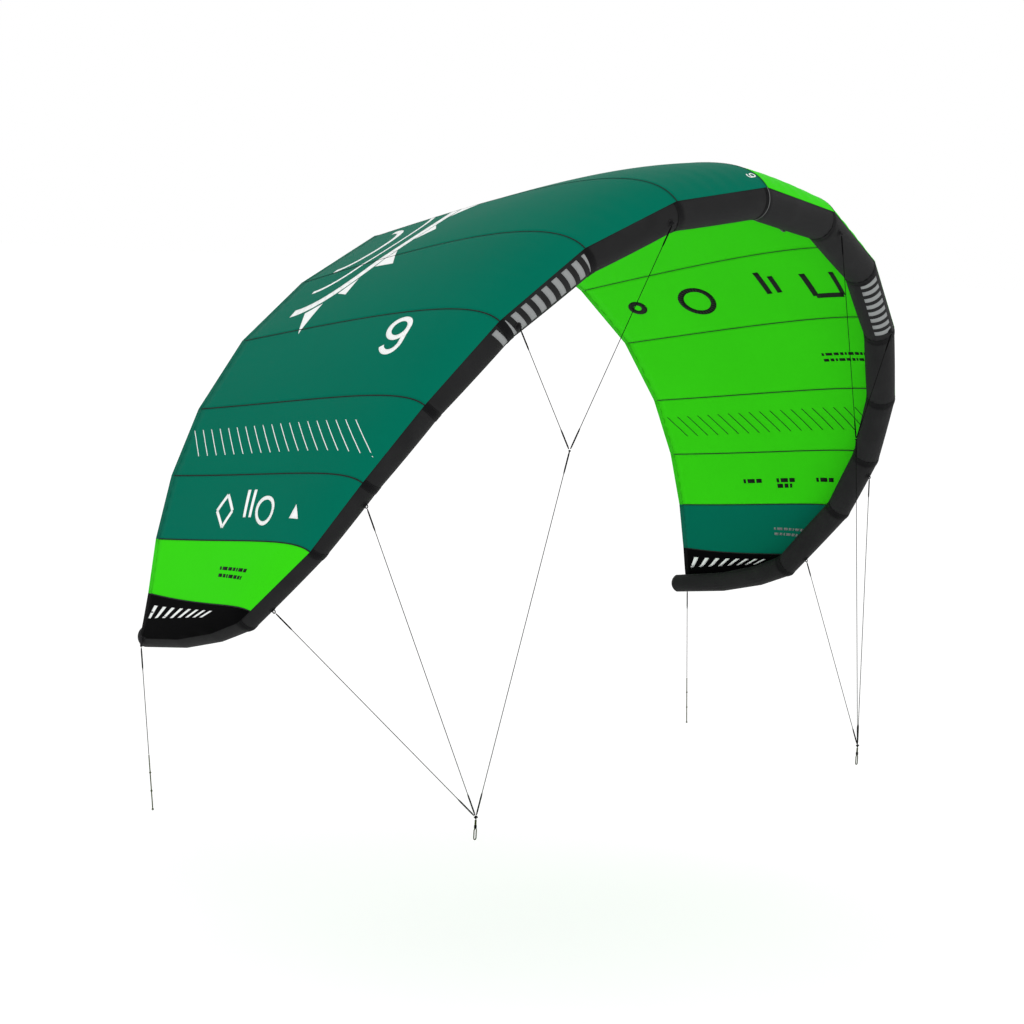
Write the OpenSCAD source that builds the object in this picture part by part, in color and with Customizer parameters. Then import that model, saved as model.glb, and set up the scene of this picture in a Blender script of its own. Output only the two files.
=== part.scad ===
/* [Wing] */
// Distance from the centre of the wing to each wing tip
half_span = 1890; // [1850:5:1930]
// How far the wing tips hang below the centre of the leading edge
arch_drop = 2000; // [1960:5:2040]
// Fore and aft distance from the leading edge to the trailing edge at the centre
root_chord = 1805; // [1795:5:1830]
// Outward bulge of the cloth between two canopy seams
panel_bulge = 16; // [0:1:24]
// Thickness of the canopy's coated cloth with its seams
cloth_t = 2; // [1:0.5:2.5]

/* [Leading edge tube] */
// Diameter of the tube at the centre of the wing
tube_d_root = 168; // [160:1:172]
// Diameter of the tube where the wing tip starts
tube_d_wing = 112; // [106:1:114]
// Diameter of the tube at its rounded end
tube_d_end = 90; // [84:1:92]
// Thickness of the tube's woven sleeve
tube_wall = 2; // [1:0.5:3]
// Width of the sewn band over each joint of the tube
band_w = 36; // [24:2:44]

/* [Lines] */
// Diameter of the bridle lines and the rear lines
line_d = 3.2; // [2.4:0.1:3.6]
// Outer diameter of the cover over each line end
sleeve_d = 6.6; // [5.4:0.2:7]
// Length of the cover over each line end
sleeve_l = 95; // [40:5:120]
// Diameter of the cord in the front loops and in the knotted rear ends
loop_cord_d = 5; // [4:0.2:6]
// Inside length of each front loop
loop_l = 40; // [30:2:60]
// Length of the bound stem above each front loop
stem_l = 36; // [20:2:50]
// Length of the thin part of each rear line
rear_line_l = 465; // [300:5:600]
// Distance between the knots on each rear line
knot_pitch = 80; // [60:2:100]

/* [Valves] */
// Bore of the inflate valve
inflate_bore_d = 11; // [9:0.5:13]
// Bore of the deflate valve
deflate_bore_d = 26; // [22:1:30]
// Diameter of the hole in the pump leash loop
leash_hole_d = 18; // [14:1:22]

/* [Hidden] */
SIDES = ["left", "right"];
SPANWISE = [for (side = SIDES) for (k = [1:8]) for (kind = ["_tube_", "_panel_"]) str(side, kind, k)];
LINES = ["_line_a", "_line_b", "_line_main", "_line_c", "_line_d"];
HANGING = ["_front_hitch", "_front_loop", "_rear_strap", "_rear_pigtail"];
$fn = 48;

// The canopy and the tube share stations: 0 is the centre, 1 to 7 are the seams, 8 to 10 are on the tip.
// Each list gives a station's place as a share of half_span and arch_drop, or in mm along Y.
tube_span = [0, 0.29, 0.53, 0.72, 0.855, 0.935, 0.975, 1, 0.998, 0.99, 0.978];
tube_drop = [0, 0.04, 0.143, 0.288, 0.453, 0.607, 0.75, 0.915, 0.95, 0.98, 1];
tube_sweep = [0, 35, 115, 230, 370, 540, 740, 1080, 1245, 1470, 1755];
edge_span = [0, 0.27, 0.515, 0.705, 0.838, 0.918, 0.963, 0.985, 0.992, 0.998, 1.004];
edge_drop = [0.074, 0.115, 0.228, 0.36, 0.509, 0.652, 0.787, 0.903, 0.938, 0.967, 0.992];
// Angle from the tube's outer side forwards to the line where the cloth is sewn on
sewn_angle = [56, 55, 50, 50, 48, 44, 40, 26, 15, 10, 5];
// How far the cloth first runs straight off the tube, and its rise at a third of the chord
lift_run = [265, 240, 200, 150, 122, 105, 92, 72, 40, 25, 10];
lift_rise = [190, 180, 160, 112, 65, 35, 27, 22, 18, 12, 0];
last_seam = 7;
last_station = 10;
edge_sweep = 68;
tip_setback = 60;
rise_place = 0.38;
cloth_gap = 2.2;
seam_gap = 0.4;
joint_gap = 0.15;
steps_along = 14;
steps_across = 4;
// Extra length on a tube cone, so that a slanted cut leaves no corner missing
cone_over = 60;
cut_size = 900;
dome_ratio = 1.15;
band_t = 1;
band_gap = 0.3;
bladder_gap = 2;
bladder_wall = 1;
tape_w = 22;
tape_t = 3;
tape_gap = 0.5;

// Bridle: where its lines meet, on the right side
bridle_y = [1030, 100, -1075];
bridle_k = [1370, 220, -2585];
// Each tab: the tube segment it is on, and how far along it sits
tab_places = [[1, 0.12], [2, 0.9], [5, 0.2], [6, 0.72]];
tab_angle = 105;
tab_eye_h = 12;
tab_eye_r = 4;
tab_r = 9;
tab_t = 3;
patch_r = 21;
patch_t = 1.5;
patch_gap = 0.4;
line_gap = 0.6;
cord_sides = 8;
line_steps = 12;
knot_clear = 10;
sleeve_clear = 16;
sleeve_bore_gap = 0.4;
junction_knot_r = 5;
hitch_r = 6;
loop_w = 11;
stem_r = 4;
stem_overlap = 3;
// Rear: the strap sewn on the outer side of the tube's end, and the line that it carries
strap_setback = 30;
strap_l = 40;
strap_w = 14;
strap_t = 2.5;
strap_gap = 1.2;
strap_patch_drop = 8;
// The tube's end leans a little, so its outer side is this much further out than its radius
lean_ratio = 1.012;
knot_r = 5.4;
knot_l = 13;
// The rear line runs down, a little forwards and a little inwards, as the flying line pulls it
rear_pull = [-0.05, -0.1, -1];

// Valves: where they sit on the first tube segment, on the side that faces back and down
valve_angle = -125;
inflate_place = 0.3;
deflate_place = 0.66;
leash_place = 0.28;
leash_rise = 8;
leash_rim = 5;
leash_t = 4;
inflate_h = 15;
deflate_h = 17;
valve_wall = 3.2;
valve_root = 1;
valve_patch_rim = 14;
bore_over = 5;
cap_depth = 4;
cap_top = 2;
cap_wall = 1.5;
cap_gap = 0.7;
pin_r = 1;
pin_gap = 0.06;
knuckle_r = 2.2;
knuckle_w = 4.6;
ear_w = 2.4;
ear_gap = 0.3;
ear_trim = 0.6;
knuckle_lift = 0.4;

// Vector helpers
function unit(v) = v / norm(v);
function between(a, b, t) = a + (b - a) * t;
function mirrored(v) = [-v[0], v[1], v[2]];
// Rotation that turns +Z towards v
function aim(v) = [0, acos(v[2] / norm(v)), atan2(v[1], v[0])];
function bezier(a, b, c, d, t) =
    a * pow(1 - t, 3) + b * 3 * t * pow(1 - t, 2) + c * 3 * t * t * (1 - t) + d * pow(t, 3);

// Leading edge tube: its axis, radius and cut planes at each station
function tube_point(i) =
    i < 0 ? mirrored(tube_point(-i)) : [half_span * tube_span[i], tube_sweep[i], -arch_drop * tube_drop[i]];
function tube_r(i) = (
    i <= last_seam
        ? between(tube_d_root, tube_d_wing, i / last_seam)
        : between(tube_d_wing, tube_d_end, (i - last_seam) / (last_station - last_seam))
) / 2;
function along(i) = unit(tube_point(i + 1) - tube_point(i));
function mitre(i) =
    i == 0 ? [1, 0, 0] :
    i == last_station ? along(last_station - 1) :
    unit(along(i - 1) + along(i));

// Canopy: its trailing edge, and the frame of each station
function edge_point(i) = [
    half_span * edge_span[i],
    root_chord - edge_sweep * min(i, last_seam) / last_seam,
    -arch_drop * edge_drop[i]
];
function station_point(i) =
    i < last_station ? tube_point(i) : tube_point(i) - along(i - 1) * tip_setback;
function square_to(v, axis) = unit(v - axis * (v * axis));
function backwards(i) =
    square_to(i <= last_seam ? edge_point(i) - tube_point(i) : [0, 0.3, 1], mitre(i));
function outwards(i) = cross(mitre(i), backwards(i));
function cloth_radius(i) = tube_r(i) + band_gap + band_t + cloth_gap + cloth_t / 2;
function sewn_point(i) =
    station_point(i)
    + cloth_radius(i) * (cos(sewn_angle[i]) * outwards(i) - sin(sewn_angle[i]) * backwards(i));
function run_dir(i) = sin(sewn_angle[i]) * outwards(i) + cos(sewn_angle[i]) * backwards(i);
function hem_point(i) =
    edge_point(i) - unit(edge_point(i) - sewn_point(i)) * (i < last_station ? tape_w : tape_w / 2);
function chord_start(i) = i <= last_seam ? tube_point(i) : sewn_point(i);
// Chordwise line of a station, from the tube (t = 0) to the hem (t = 1)
function profile(i, t) = bezier(
    sewn_point(i),
    sewn_point(i) + lift_run[i] * run_dir(i),
    between(chord_start(i), hem_point(i), rise_place) + lift_rise[i] * outwards(i),
    hem_point(i),
    t
);
// Point on the canopy's middle surface, at station u (with fractions) and chordwise place t
function cloth_point(u, t) =
    u < 0 ? mirrored(cloth_point(-u, t)) :
    let (i = min(floor(u), last_station - 1))
    let (f = u - i)
    let (bulge = panel_bulge * (i < last_seam ? 4 * f * (1 - f) : 0) * sin(180 * t))
    between(profile(i, t), profile(i + 1, t), f)
    + bulge * unit(between(outwards(i), outwards(i + 1), f));
function cloth_normal(u, t) =
    let (du = 0.02)
    let (dt = 0.01)
    let (across = cloth_point(min(u + du, last_station), t) - cloth_point(u - du, t))
    let (down = cloth_point(u, min(t + dt, 1)) - cloth_point(u, max(t - dt, 0)))
    unit(cross(across, down));

// Triangles of a closed sheet: a grid of rows by cols points, first the outer face, then the inner one
function grid_index(r, c, cols) = r * cols + c;
function quad(a, b, c, d) = [[a, b, c], [a, c, d]];
function sheet_faces(rows, cols) = let (under = rows * cols) [
    for (r = [0:rows - 2]) for (c = [0:cols - 2])
        let (a = grid_index(r, c, cols))
        let (b = grid_index(r, c + 1, cols))
        let (d = grid_index(r + 1, c, cols))
        let (e = grid_index(r + 1, c + 1, cols))
        for (face = concat(quad(a, b, e, d), quad(a + under, d + under, e + under, b + under))) face,
    for (r = [0:rows - 2])
        let (a = grid_index(r, 0, cols))
        let (b = grid_index(r, cols - 1, cols))
        for (face = concat(
            quad(a, a + cols, a + cols + under, a + under),
            quad(b, b + under, b + cols + under, b + cols)
        )) face,
    for (c = [0:cols - 2])
        let (a = c)
        let (b = grid_index(rows - 1, c, cols))
        for (face = concat(
            quad(a, a + under, a + 1 + under, a + 1),
            quad(b, b + 1, b + 1 + under, b + under)
        )) face
];

// Rings of a round cord along a route of [point, radius] pairs, closed at both ends
function route_dir(route, i) =
    unit(route[min(i + 1, len(route) - 1)][0] - route[max(i - 1, 0)][0]);
function ring(centre, dir, r) =
    let (x = unit(cross(dir, [0, 1, 0])))
    let (y = cross(dir, x))
    let (turn = 360 / cord_sides)
    [for (s = [0:cord_sides - 1]) centre + r * (x * cos(s * turn) + y * sin(s * turn))];
function cord_faces(rings) = concat(
    [[for (s = [cord_sides - 1:-1:0]) s]],
    [[for (s = [0:cord_sides - 1]) (rings - 1) * cord_sides + s]],
    [for (i = [0:rings - 2]) for (s = [0:cord_sides - 1])
        let (a = i * cord_sides + s)
        let (b = i * cord_sides + (s + 1) % cord_sides)
        for (face = quad(a, b, b + cord_sides, a + cord_sides)) face]
);

// Bridle: a tab's frame on its tube segment, and the point where its line starts
function tab_axis_point(place) = between(tube_point(place[0]), tube_point(place[0] + 1), place[1]);
function tab_radius(place) = between(tube_r(place[0]), tube_r(place[0] + 1), place[1]);
function side_dir(place, angle) =
    let (chord = between(edge_point(place[0]), edge_point(place[0] + 1), place[1]) - tab_axis_point(place))
    let (back = square_to(chord, along(place[0])))
    let (out = cross(along(place[0]), back))
    cos(angle) * out - sin(angle) * back;
function tab_eye(place) =
    tab_axis_point(place) + (tab_radius(place) + tab_eye_h) * side_dir(place, tab_angle);
function line_start(place, target) =
    let (eye = tab_eye(place))
    eye + (tab_r + line_gap) * unit(target - eye);
function short_of(from, to, gap) = to - gap * unit(to - from);

// Rear strap's pivot, just outside the tube near its end
strap_top = tube_point(last_station) - along(last_station - 1) * strap_setback
    + [tube_r(last_station) * lean_ratio + patch_gap + patch_t + strap_gap + strap_t / 2, 0, 0];
strap_bottom = strap_top - [0, 0, strap_l];
rear_pivot = strap_bottom - [0, 0, strap_t / 2 + line_gap + line_d / 2];
loop_pivot = bridle_k - [0, 0, hitch_r + line_gap + stem_r];

module placed(origin, x, z) {
    y = cross(z, x);
    multmatrix([
        [x[0], y[0], z[0], origin[0]],
        [x[1], y[1], z[1], origin[1]],
        [x[2], y[2], z[2], origin[2]],
        [0, 0, 0, 1]
    ]) children();
}

module on_side(side) {
    if (side == "left") mirror([1, 0, 0]) children();
    else children();
}

// Everything behind the plane through p that faces along n
module half_space(p, n) {
    translate(p) rotate(aim(n)) translate([-cut_size / 2, -cut_size / 2, -cut_size]) cube(cut_size);
}

// Cone along tube segment i, thicker than the tube by grow, and longer by over at each end
module cone(i, grow, over) {
    length = norm(tube_point(i + 1) - tube_point(i));
    taper = (tube_r(i + 1) - tube_r(i)) / length;
    near_r = tube_r(i) + grow - taper * over;
    far_r = tube_r(i + 1) + grow + taper * over;
    translate(tube_point(i)) rotate(aim(along(i))) translate([0, 0, -over])
        cylinder(h = length + 2 * over, r1 = near_r, r2 = far_r);
}

module cone_shell(i, grow, wall) {
    difference() {
        cone(i, grow, cone_over);
        cone(i, grow - wall, cone_over + 1);
    }
}

// Tube segment i of any thickness, cut at the planes it shares with its neighbours
module cut_shell(i, grow, wall, gap) {
    intersection() {
        cone_shell(i, grow, wall);
        half_space(tube_point(i + 1) - mitre(i + 1) * gap, mitre(i + 1));
        half_space(tube_point(i) + mitre(i) * gap, -mitre(i));
    }
}

module end_ball(grow) {
    rim = tube_r(last_station);
    setback = rim * sqrt(dome_ratio * dome_ratio - 1);
    translate(tube_point(last_station) - setback * mitre(last_station)) sphere(r = rim * dome_ratio + grow);
}

module end_dome(grow, wall, gap) {
    difference() {
        end_ball(grow);
        end_ball(grow - wall);
        half_space(tube_point(last_station) + mitre(last_station) * gap, mitre(last_station));
    }
}

module tube_solids(k) {
    if (k <= last_seam) cut_shell(k - 1, 0, tube_wall, joint_gap);
    else {
        for (i = [last_seam:last_station - 1]) cut_shell(i, 0, tube_wall, joint_gap);
        end_dome(0, tube_wall, joint_gap);
    }
}

module valve_hole(place, radius) {
    axis_point = tab_axis_point([0, place]);
    translate(axis_point) rotate(aim(side_dir([0, place], valve_angle)))
        cylinder(h = tube_d_root, r = radius);
}

function valve_r(bore_d) = bore_d / 2 + valve_wall;

// Woven sleeve of the tube: segment k runs from seam k - 1 to seam k, and the eighth is the closed tip
module tube(side, k) {
    color("dimgray") on_side(side) difference() {
        tube_solids(k);
        if (side == "right" && k == 1) {
            valve_hole(inflate_place, valve_r(inflate_bore_d) + patch_gap);
            valve_hole(deflate_place, valve_r(deflate_bore_d) + patch_gap);
        }
    }
}

module bladder() {
    grow = -tube_wall - bladder_gap;
    color("gainsboro") difference() {
        for (side = SIDES) on_side(side) {
            for (i = [0:last_station - 1]) cut_shell(i, grow, bladder_wall, joint_gap);
            end_dome(grow, bladder_wall, joint_gap);
        }
        valve_hole(inflate_place, valve_r(inflate_bore_d));
        valve_hole(deflate_place, valve_r(deflate_bore_d));
    }
}

// Sewn band over seam i: a sleeve on the segments at both sides of the seam
module band(i) {
    grow = band_gap + band_t;
    p = tube_point(i);
    if (i > 0) intersection() {
        cone_shell(i - 1, grow, band_t);
        half_space(p - mitre(i) * joint_gap, mitre(i));
        half_space(p - mitre(i) * band_w / 2, -mitre(i));
    }
    intersection() {
        cone_shell(i, grow, band_t);
        half_space(p + mitre(i) * joint_gap, -mitre(i));
        half_space(p + mitre(i) * band_w / 2, mitre(i));
    }
}

module tube_bands() {
    color("black") for (side = SIDES) on_side(side) for (i = [0:last_seam]) band(i);
}

function panel_color(side, k) =
    k == 8 ? "black" :
    (side == "left") == (k < 7) ? "darkgreen" : "limegreen";

// Canopy panel k, between seam k - 1 and seam k; the eighth one is the tip
module panel(side, k) {
    first = k - 1;
    last = k <= last_seam ? k : last_station;
    steps = k <= last_seam ? steps_across : 2 * (last - first);
    inset = seam_gap / norm(tube_point(k) - tube_point(first));
    stations = [for (j = [0:steps]) between(first + inset, last - (k <= last_seam ? inset : 0), j / steps)];
    places = [for (u = stations) for (c = [0:steps_along]) [u, c / steps_along]];
    outer = [for (q = places) cloth_point(q[0], q[1]) + cloth_normal(q[0], q[1]) * cloth_t / 2];
    inner = [for (q = places) cloth_point(q[0], q[1]) - cloth_normal(q[0], q[1]) * cloth_t / 2];
    color(panel_color(side, k)) on_side(side)
        polyhedron(points = concat(outer, inner), faces = sheet_faces(len(stations), steps_along + 1));
}

// Folded tape along the whole trailing edge
module trailing_tape() {
    half = [for (i = [0:last_station]) i];
    front = [for (i = half) hem_point(i) + tape_gap * unit(edge_point(i) - hem_point(i))];
    back = [for (i = half) edge_point(i)];
    thick = [for (i = half) outwards(i) * tape_t / 2];
    corners = [
        for (i = half) [front[i] + thick[i], back[i] + thick[i], front[i] - thick[i], back[i] - thick[i]]
    ];
    right_first = [for (i = [last_station:-1:1]) corners[i]];
    left = [for (i = [0:last_station]) [for (p = corners[i]) mirrored(p)]];
    all = concat(right_first, left);
    upper = [for (q = all) for (p = [q[0], q[1]]) p];
    lower = [for (q = all) for (p = [q[2], q[3]]) p];
    color("black") polyhedron(
        points = concat(upper, lower),
        faces = [for (face = sheet_faces(len(all), 2)) [face[0], face[2], face[1]]]
    );
}

// Sewn patch on the tube round a tab, a valve or a strap
module patch(place, angle, radius) {
    intersection() {
        cone_shell(place[0], patch_gap + patch_t, patch_t);
        translate(tab_axis_point(place)) rotate(aim(side_dir(place, angle)))
            cylinder(h = tube_d_root, r = radius);
    }
}

// Flat eye of webbing that stands on the tube
module webbing_eye(place, angle, eye_h, eye_r, outer_r, t) {
    foot = tab_radius(place) + patch_gap + patch_t / 2;
    eye = tab_radius(place) + eye_h;
    placed(tab_axis_point(place), along(place[0]), side_dir(place, angle)) difference() {
        union() {
            translate([-outer_r, -t / 2, foot]) cube([2 * outer_r, t, eye - foot]);
            translate([0, t / 2, eye]) rotate([90, 0, 0]) cylinder(h = t, r = outer_r);
        }
        translate([0, t, eye]) rotate([90, 0, 0]) cylinder(h = 2 * t, r = eye_r);
    }
}

module line_tabs() {
    color("black") for (side = SIDES) on_side(side) {
        for (place = tab_places) {
            patch(place, tab_angle, patch_r);
            webbing_eye(place, tab_angle, tab_eye_h, tab_eye_r, tab_r, tab_t);
        }
        intersection() {
            cone_shell(last_station - 1, patch_gap + patch_t, patch_t);
            translate(strap_top - [0, 0, strap_patch_drop]) rotate([0, 90, 0])
                cylinder(h = tube_r(last_station), r = strap_w, center = true);
        }
    }
}

module leash_loop() {
    place = [0, leash_place];
    hole_r = leash_hole_d / 2;
    color("black") on_side("left") {
        patch(place, valve_angle, patch_r);
        webbing_eye(place, valve_angle, hole_r + leash_rise, hole_r, hole_r + leash_rim, leash_t);
    }
}

module cord(route) {
    points = [for (i = [0:len(route) - 1]) for (p = ring(route[i][0], route_dir(route, i), route[i][1])) p];
    polyhedron(points = points, faces = cord_faces(len(route)));
}

function straight(from, to, steps, r) = [for (j = [0:steps]) [between(from, to, j / steps), r]];

// One bridle line from a tab to the point where lines meet
module tab_line(side, place, target) {
    end = short_of(tab_eye(place), target, knot_clear);
    color("darkslategray") on_side(side)
        cord(straight(line_start(place, target), end, line_steps, line_d / 2));
}

// Main bridle line, with the knot that holds the two front lines
module main_line(side) {
    down = unit(bridle_k - bridle_y);
    knot = [for (a = [30:30:150]) [bridle_y - down * junction_knot_r * cos(a), junction_knot_r * sin(a)]];
    top = bridle_y + down * (junction_knot_r + 2);
    end = short_of(bridle_y, bridle_k, knot_clear);
    color("darkslategray") on_side(side) cord(concat(knot, straight(top, end, line_steps, line_d / 2)));
}

module sleeve(from, to, gap) {
    translate(short_of(to, from, gap)) rotate(aim(to - from)) difference() {
        cylinder(h = sleeve_l, r = sleeve_d / 2);
        translate([0, 0, -1]) cylinder(h = sleeve_l + 2, r = line_d / 2 + sleeve_bore_gap);
    }
}

module line_sleeves() {
    targets = [bridle_y, bridle_y, bridle_k, bridle_k];
    color("black") for (side = SIDES) on_side(side) {
        for (i = [0:3]) {
            sleeve(tab_eye(tab_places[i]), targets[i], tab_r + 2 * line_gap);
            sleeve(targets[i], tab_eye(tab_places[i]), sleeve_clear);
        }
        sleeve(bridle_y, bridle_k, sleeve_clear);
        sleeve(bridle_k, bridle_y, sleeve_clear);
    }
}

// Knot that joins the front loop to the bridle
module front_hitch(side) {
    color("black") on_side(side) translate(bridle_k) sphere(r = hitch_r);
}

// Loop of cord that a flying line is hitched to, below a stem where its two sides are bound together
module front_loop(side) {
    r = loop_cord_d / 2;
    bend = loop_w / 2;
    length = loop_l - loop_w + loop_cord_d;
    drop = stem_l - stem_overlap + bend + r;
    color("olivedrab") on_side(side) translate(loop_pivot) {
        sphere(r = stem_r);
        translate([0, 0, -stem_l]) cylinder(h = stem_l, r = stem_r);
    }
    color("olivedrab") on_side(side) translate(loop_pivot - [0, 0, drop]) rotate([90, 0, 0]) {
        for (turn = [0, 1]) translate([0, -turn * length, 0])
            rotate([0, 0, turn * 180]) rotate_extrude(angle = 180) translate([bend, 0]) circle(r = r);
        for (x = [-bend, bend])
            translate([x, 0, 0]) rotate([90, 0, 0]) cylinder(h = length, r = r);
    }
}

module rear_strap(side) {
    color("black") on_side(side) {
        for (end = [strap_top, strap_bottom])
            translate(end) rotate([90, 0, 0]) cylinder(h = strap_w, r = strap_t / 2, center = true);
        translate(between(strap_top, strap_bottom, 0.5)) cube([strap_t, strap_w, strap_l], center = true);
    }
}

// Rear line: a thin line, then thicker cord with three knots
module rear_pigtail(side) {
    thin = line_d / 2;
    thick = loop_cord_d / 2;
    knots = [for (k = [1:3]) rear_line_l + k * knot_pitch];
    knot_rings = [
        for (z = knots) for (a = [-90:45:90]) [z + sin(a) * knot_l / 2, max(thick, knot_r * cos(a))]
    ];
    thin_rings = [for (j = [0:line_steps]) [j * rear_line_l / line_steps, thin]];
    rings = concat(thin_rings, [[rear_line_l + 2, thick]], knot_rings);
    color("darkolivegreen") on_side(side) cord([for (q = rings) [rear_pivot + q[0] * unit(rear_pull), q[1]]]);
}

// Valve in its own frame: z = 0 is on the tube's surface and the hinge pin lies along x
module valve_frame(place) {
    at = [0, place];
    out = side_dir(at, valve_angle);
    placed(tab_axis_point(at) + tab_radius(at) * out, along(0), out) children();
}

function hinge_y(bore_d) = valve_r(bore_d) + cap_gap + cap_wall + knuckle_r + ear_gap;

module valve_body(place, bore_d, height) {
    r = valve_r(bore_d);
    hinge_z = height - cap_depth;
    depth = tube_wall + valve_root;
    color("black") difference() {
        union() {
            patch([0, place], valve_angle, r + valve_patch_rim);
            valve_frame(place) {
                translate([0, 0, -depth]) cylinder(h = height + depth, r = r);
                for (side = [-1, 1]) {
                    x = side * (knuckle_w / 2 + ear_gap + ear_w / 2);
                    translate([x, hinge_y(bore_d), hinge_z]) rotate([0, 90, 0])
                        cylinder(h = ear_w, r = knuckle_r, center = true);
                    translate([x - ear_w / 2, 0, hinge_z - 2 * knuckle_r])
                        cube([ear_w, hinge_y(bore_d) + knuckle_r, 2 * knuckle_r - ear_trim]);
                }
                translate([0, hinge_y(bore_d), hinge_z]) rotate([0, 90, 0])
                    cylinder(h = knuckle_w + 2 * ear_gap + 1, r = pin_r, center = true);
            }
        }
        valve_frame(place) translate([0, 0, -depth - bore_over])
            cylinder(h = height + depth + 2 * bore_over, r = bore_d / 2);
    }
}

module valve_cap(place, bore_d, height) {
    r = valve_r(bore_d);
    hinge_z = height - cap_depth;
    inner_r = r + cap_gap;
    color("dimgray") valve_frame(place) {
        translate([0, 0, hinge_z]) difference() {
            cylinder(h = cap_depth + cap_gap + cap_top, r = inner_r + cap_wall);
            translate([0, 0, -1]) cylinder(h = cap_depth + cap_gap + 1, r = inner_r);
        }
        difference() {
            union() {
                translate([0, hinge_y(bore_d), hinge_z]) rotate([0, 90, 0])
                    cylinder(h = knuckle_w, r = knuckle_r, center = true);
                translate([-knuckle_w / 2, inner_r + cap_wall / 2, hinge_z + knuckle_lift])
                    cube([knuckle_w, hinge_y(bore_d) - inner_r - cap_wall / 2, knuckle_r - knuckle_lift]);
            }
            translate([0, hinge_y(bore_d), hinge_z]) rotate([0, 90, 0])
                cylinder(h = knuckle_w + 2, r = pin_r + pin_gap, center = true);
        }
    }
}

for (side = SIDES) for (k = [1:8]) {
    tube(side, k);
    panel(side, k);
}
for (side = SIDES) {
    tab_line(side, tab_places[0], bridle_y);
    tab_line(side, tab_places[1], bridle_y);
    main_line(side);
    tab_line(side, tab_places[2], bridle_k);
    tab_line(side, tab_places[3], bridle_k);
    front_hitch(side);
    front_loop(side);
    rear_strap(side);
    rear_pigtail(side);
}
tube_bands();
bladder();
trailing_tape();
line_tabs();
line_sleeves();
leash_loop();
valve_body(inflate_place, inflate_bore_d, inflate_h);  // inflate_valve
valve_cap(inflate_place, inflate_bore_d, inflate_h);  // inflate_cap
valve_body(deflate_place, deflate_bore_d, deflate_h);  // deflate_valve
valve_cap(deflate_place, deflate_bore_d, deflate_h);  // deflate_cap
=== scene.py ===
# %% [markdown]
# # An inflatable power kite
# The wing is one arched sheet of sewn cloth panels on an inflated tube, and it flies on four lines.
# This lesson loads the kite's CAD frame, then makes each soft part as its own piece in the same place.
# Everything is in metres. +X is across the wing, -Y is its leading edge, and +Z is up.

# %% Load the frame
import math

import bpy
import numpy as np
from mathutils import Matrix


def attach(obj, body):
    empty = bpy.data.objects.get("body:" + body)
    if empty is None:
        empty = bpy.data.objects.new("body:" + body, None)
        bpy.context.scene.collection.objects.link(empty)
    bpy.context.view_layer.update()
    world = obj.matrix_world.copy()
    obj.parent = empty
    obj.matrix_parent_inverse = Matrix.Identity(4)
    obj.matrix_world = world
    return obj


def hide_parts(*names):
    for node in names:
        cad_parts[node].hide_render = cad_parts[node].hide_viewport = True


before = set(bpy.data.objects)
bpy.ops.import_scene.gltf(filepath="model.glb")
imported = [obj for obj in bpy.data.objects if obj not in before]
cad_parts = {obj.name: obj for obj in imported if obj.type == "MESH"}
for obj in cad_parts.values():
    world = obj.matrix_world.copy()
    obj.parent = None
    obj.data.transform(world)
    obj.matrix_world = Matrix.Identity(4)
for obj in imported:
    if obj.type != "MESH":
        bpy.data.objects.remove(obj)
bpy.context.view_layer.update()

# %% [markdown]
# ## Camera
# A kite this wide is seen well from the front, a little above its tips, with a long lens from far away.
# A long lens keeps both halves of the arch in proportion. The camera leans over a little.

# %% Camera
CAMERA_PLACE = (-9.41, -7.05, -0.25)
CAMERA_TARGET = (-0.48, 0.89, -1.43)
CAMERA_ROLL = 2.64
LENS = 94.4


def unit(v):
    v = np.asarray(v, float)
    return v / np.linalg.norm(v)


def aim(obj, place, target, roll=0.0):
    """Stands obj at place, looking at target, turned by roll degrees round its own line of sight."""
    look = unit(np.subtract(target, place))
    right = unit(np.cross(look, (0, 0, 1)))
    up = np.cross(right, look)
    a = math.radians(roll)
    matrix = np.eye(4)
    matrix[:3, 0] = math.cos(a) * right + math.sin(a) * up
    matrix[:3, 1] = math.cos(a) * up - math.sin(a) * right
    matrix[:3, 2] = -look
    matrix[:3, 3] = place
    obj.matrix_world = Matrix(matrix.tolist())


camera_data = bpy.data.cameras.new("camera")
camera_data.lens = LENS
camera_data.sensor_width = 36
camera_data.clip_end = 500
camera = bpy.data.objects.new("camera", camera_data)
bpy.context.collection.objects.link(camera)
bpy.context.scene.camera = camera
aim(camera, CAMERA_PLACE, CAMERA_TARGET, CAMERA_ROLL)
print("camera lens", camera_data.lens, "mm")

# %% [markdown]
# ## Mesh helpers
# Nearly every soft part of a kite is a strip or a skin: a grid of points with cloth between them.
# One helper turns such a grid into a mesh, with a UV map in metres so that a weave keeps its real size.

# %% Mesh helpers
def link(obj):
    bpy.context.collection.objects.link(obj)
    return obj


def mesh_piece(name, vertices, faces, uvs=None):
    """Object from vertices and faces, smooth shaded, with one UV per vertex if uvs is given."""
    mesh = bpy.data.meshes.new(name)
    mesh.from_pydata([tuple(map(float, v)) for v in vertices], [], faces)
    if uvs is not None:
        layer = mesh.uv_layers.new(name="cut")
        corner_vertex = np.empty(len(mesh.loops), dtype=np.int32)
        mesh.loops.foreach_get("vertex_index", corner_vertex)
        layer.data.foreach_set("uv", np.asarray(uvs, float)[corner_vertex].ravel())
    mesh.polygons.foreach_set("use_smooth", [True] * len(mesh.polygons))
    mesh.validate()
    return link(bpy.data.objects.new(name, mesh))


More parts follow.
